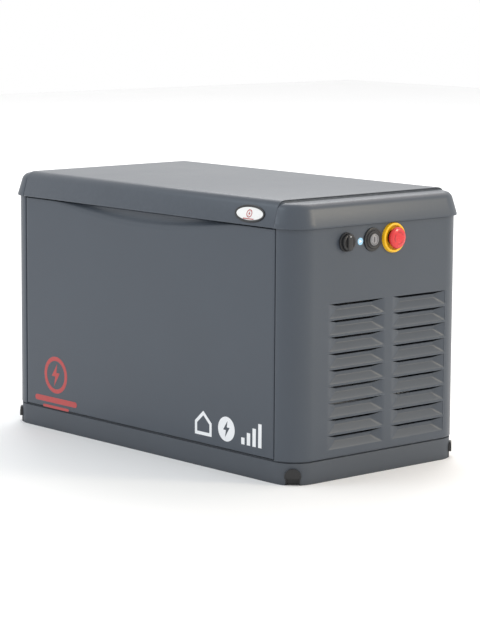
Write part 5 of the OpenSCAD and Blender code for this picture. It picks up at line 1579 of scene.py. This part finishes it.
class GENERATOR_OT_controls(Build, bpy.types.Operator):
    """The control box, its fascia, switch, breaker and the connection box."""

    bl_idname = "generator.controls"
    bl_label = "Controls"

    def build(self):
        dressed("control_case", "control_box", "enclosure", "black", "black_plastic", 0.0012)
        dressed("control_front", "control_fascia", "enclosure", "fascia", "black_plastic", 0.0006)
        dressed("mode_rocker_cap", "mode_switch", "mode_rocker", "gloss black", "black_plastic", 0.0006)
        dressed("breaker_handle", "breaker_toggle", "breaker_lever", "black", "black_plastic", 0.0010)
        dressed("wiring_box", "connection_box", "enclosure", "grey enamel", "alternator_paint", 0.0010)
        low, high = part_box("control_fascia")
        front = low.y + 0.004
        x0, z0 = low.x + 0.006, low.z
        screen = block("display_glass", (x0 + 0.026, front - 0.0005, z0 + 0.118),
                       (x0 + 0.124, front + 0.003, z0 + 0.172), 0.0008)
        seat(set_finish(screen, "screen"), "enclosure")
        for k, key in enumerate(("green lamp", "amber lamp", "red lamp", "screen")):
            at = (x0 + 0.152 + (k % 2) * 0.030, front, z0 + 0.128 + (k // 2) * 0.032)
            outline = [(0, -0.001), (0.0062, -0.001), (0.0062, 0.0006), (0.0050, 0.0020), (0.0026, 0.0028),
                       (0, 0.0030)]
            lamp = smooth(turned(f"indicator_{k}", outline, at, (0, -1, 0), 32), 50)
            seat(set_finish(lamp, key), "enclosure")
        places = [((x, front + 0.0018, z), (0, -1, 0)) for x in (x0 + 0.004, high.x - 0.010)
                  for z in (z0 + 0.010, (z0 + high.z) / 2, high.z - 0.010)]
        fasteners("fascia_screws", "enclosure", places, details().screw_radius, 0.0022, key="steel", sides=20,
                  washer=1.0)
        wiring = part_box("connection_box")[0]
        lid = [((x, wiring.y, z), (0, -1, 0)) for x in (0.163, 0.312) for z in (0.072, 0.256)]
        fasteners("wiring_box_screws", "enclosure", lid, details().screw_radius * 1.3, 0.003)


STEPS = (GENERATOR_OT_stage, GENERATOR_OT_base, GENERATOR_OT_end_panels, GENERATOR_OT_rear_panel,
         GENERATOR_OT_front_panel, GENERATOR_OT_roof, GENERATOR_OT_badge, GENERATOR_OT_hinges,
         GENERATOR_OT_latches, GENERATOR_OT_key_switch, GENERATOR_OT_stop_button, GENERATOR_OT_engine,
         GENERATOR_OT_alternator, GENERATOR_OT_air_and_fuel, GENERATOR_OT_exhaust, GENERATOR_OT_battery,
         GENERATOR_OT_controls)


class GENERATOR_PT_sidebar(bpy.types.Panel):
    """Lists the sizes, the colours and the steps."""

    bl_idname = "GENERATOR_PT_sidebar"
    bl_label = "Standby generator"
    bl_space_type = "VIEW_3D"
    bl_region_type = "UI"
    bl_category = "Generator"

    def draw(self, context):
        layout = self.layout
        for settings in (sizes(), details(), tints()):
            box = layout.box()
            for key in settings.__annotations__:
                box.prop(settings, key)
        for step in STEPS:
            layout.operator(step.bl_idname)


CLASSES = (GeneratorPanelSizes, GeneratorDetailSizes, GeneratorColours, *STEPS, GENERATOR_PT_sidebar)


def register():
    for each in CLASSES:
        bpy.utils.register_class(each)
    bpy.types.Scene.generator_panels = PointerProperty(type=GeneratorPanelSizes)
    bpy.types.Scene.generator_details = PointerProperty(type=GeneratorDetailSizes)
    bpy.types.Scene.generator_colours = PointerProperty(type=GeneratorColours)


def unregister():
    for name in ("generator_panels", "generator_details", "generator_colours"):
        delattr(bpy.types.Scene, name)
    for each in reversed(CLASSES):
        bpy.utils.unregister_class(each)


def main():
    register()
    make_finishes()
    TREES.update(louvre=louvre_field(), fastener=fastener_field(), hose=hose_along())
    for step in STEPS:
        getattr(bpy.ops.generator, step.bl_idname.split(".")[1])()


if __name__ == "__main__":
    main()
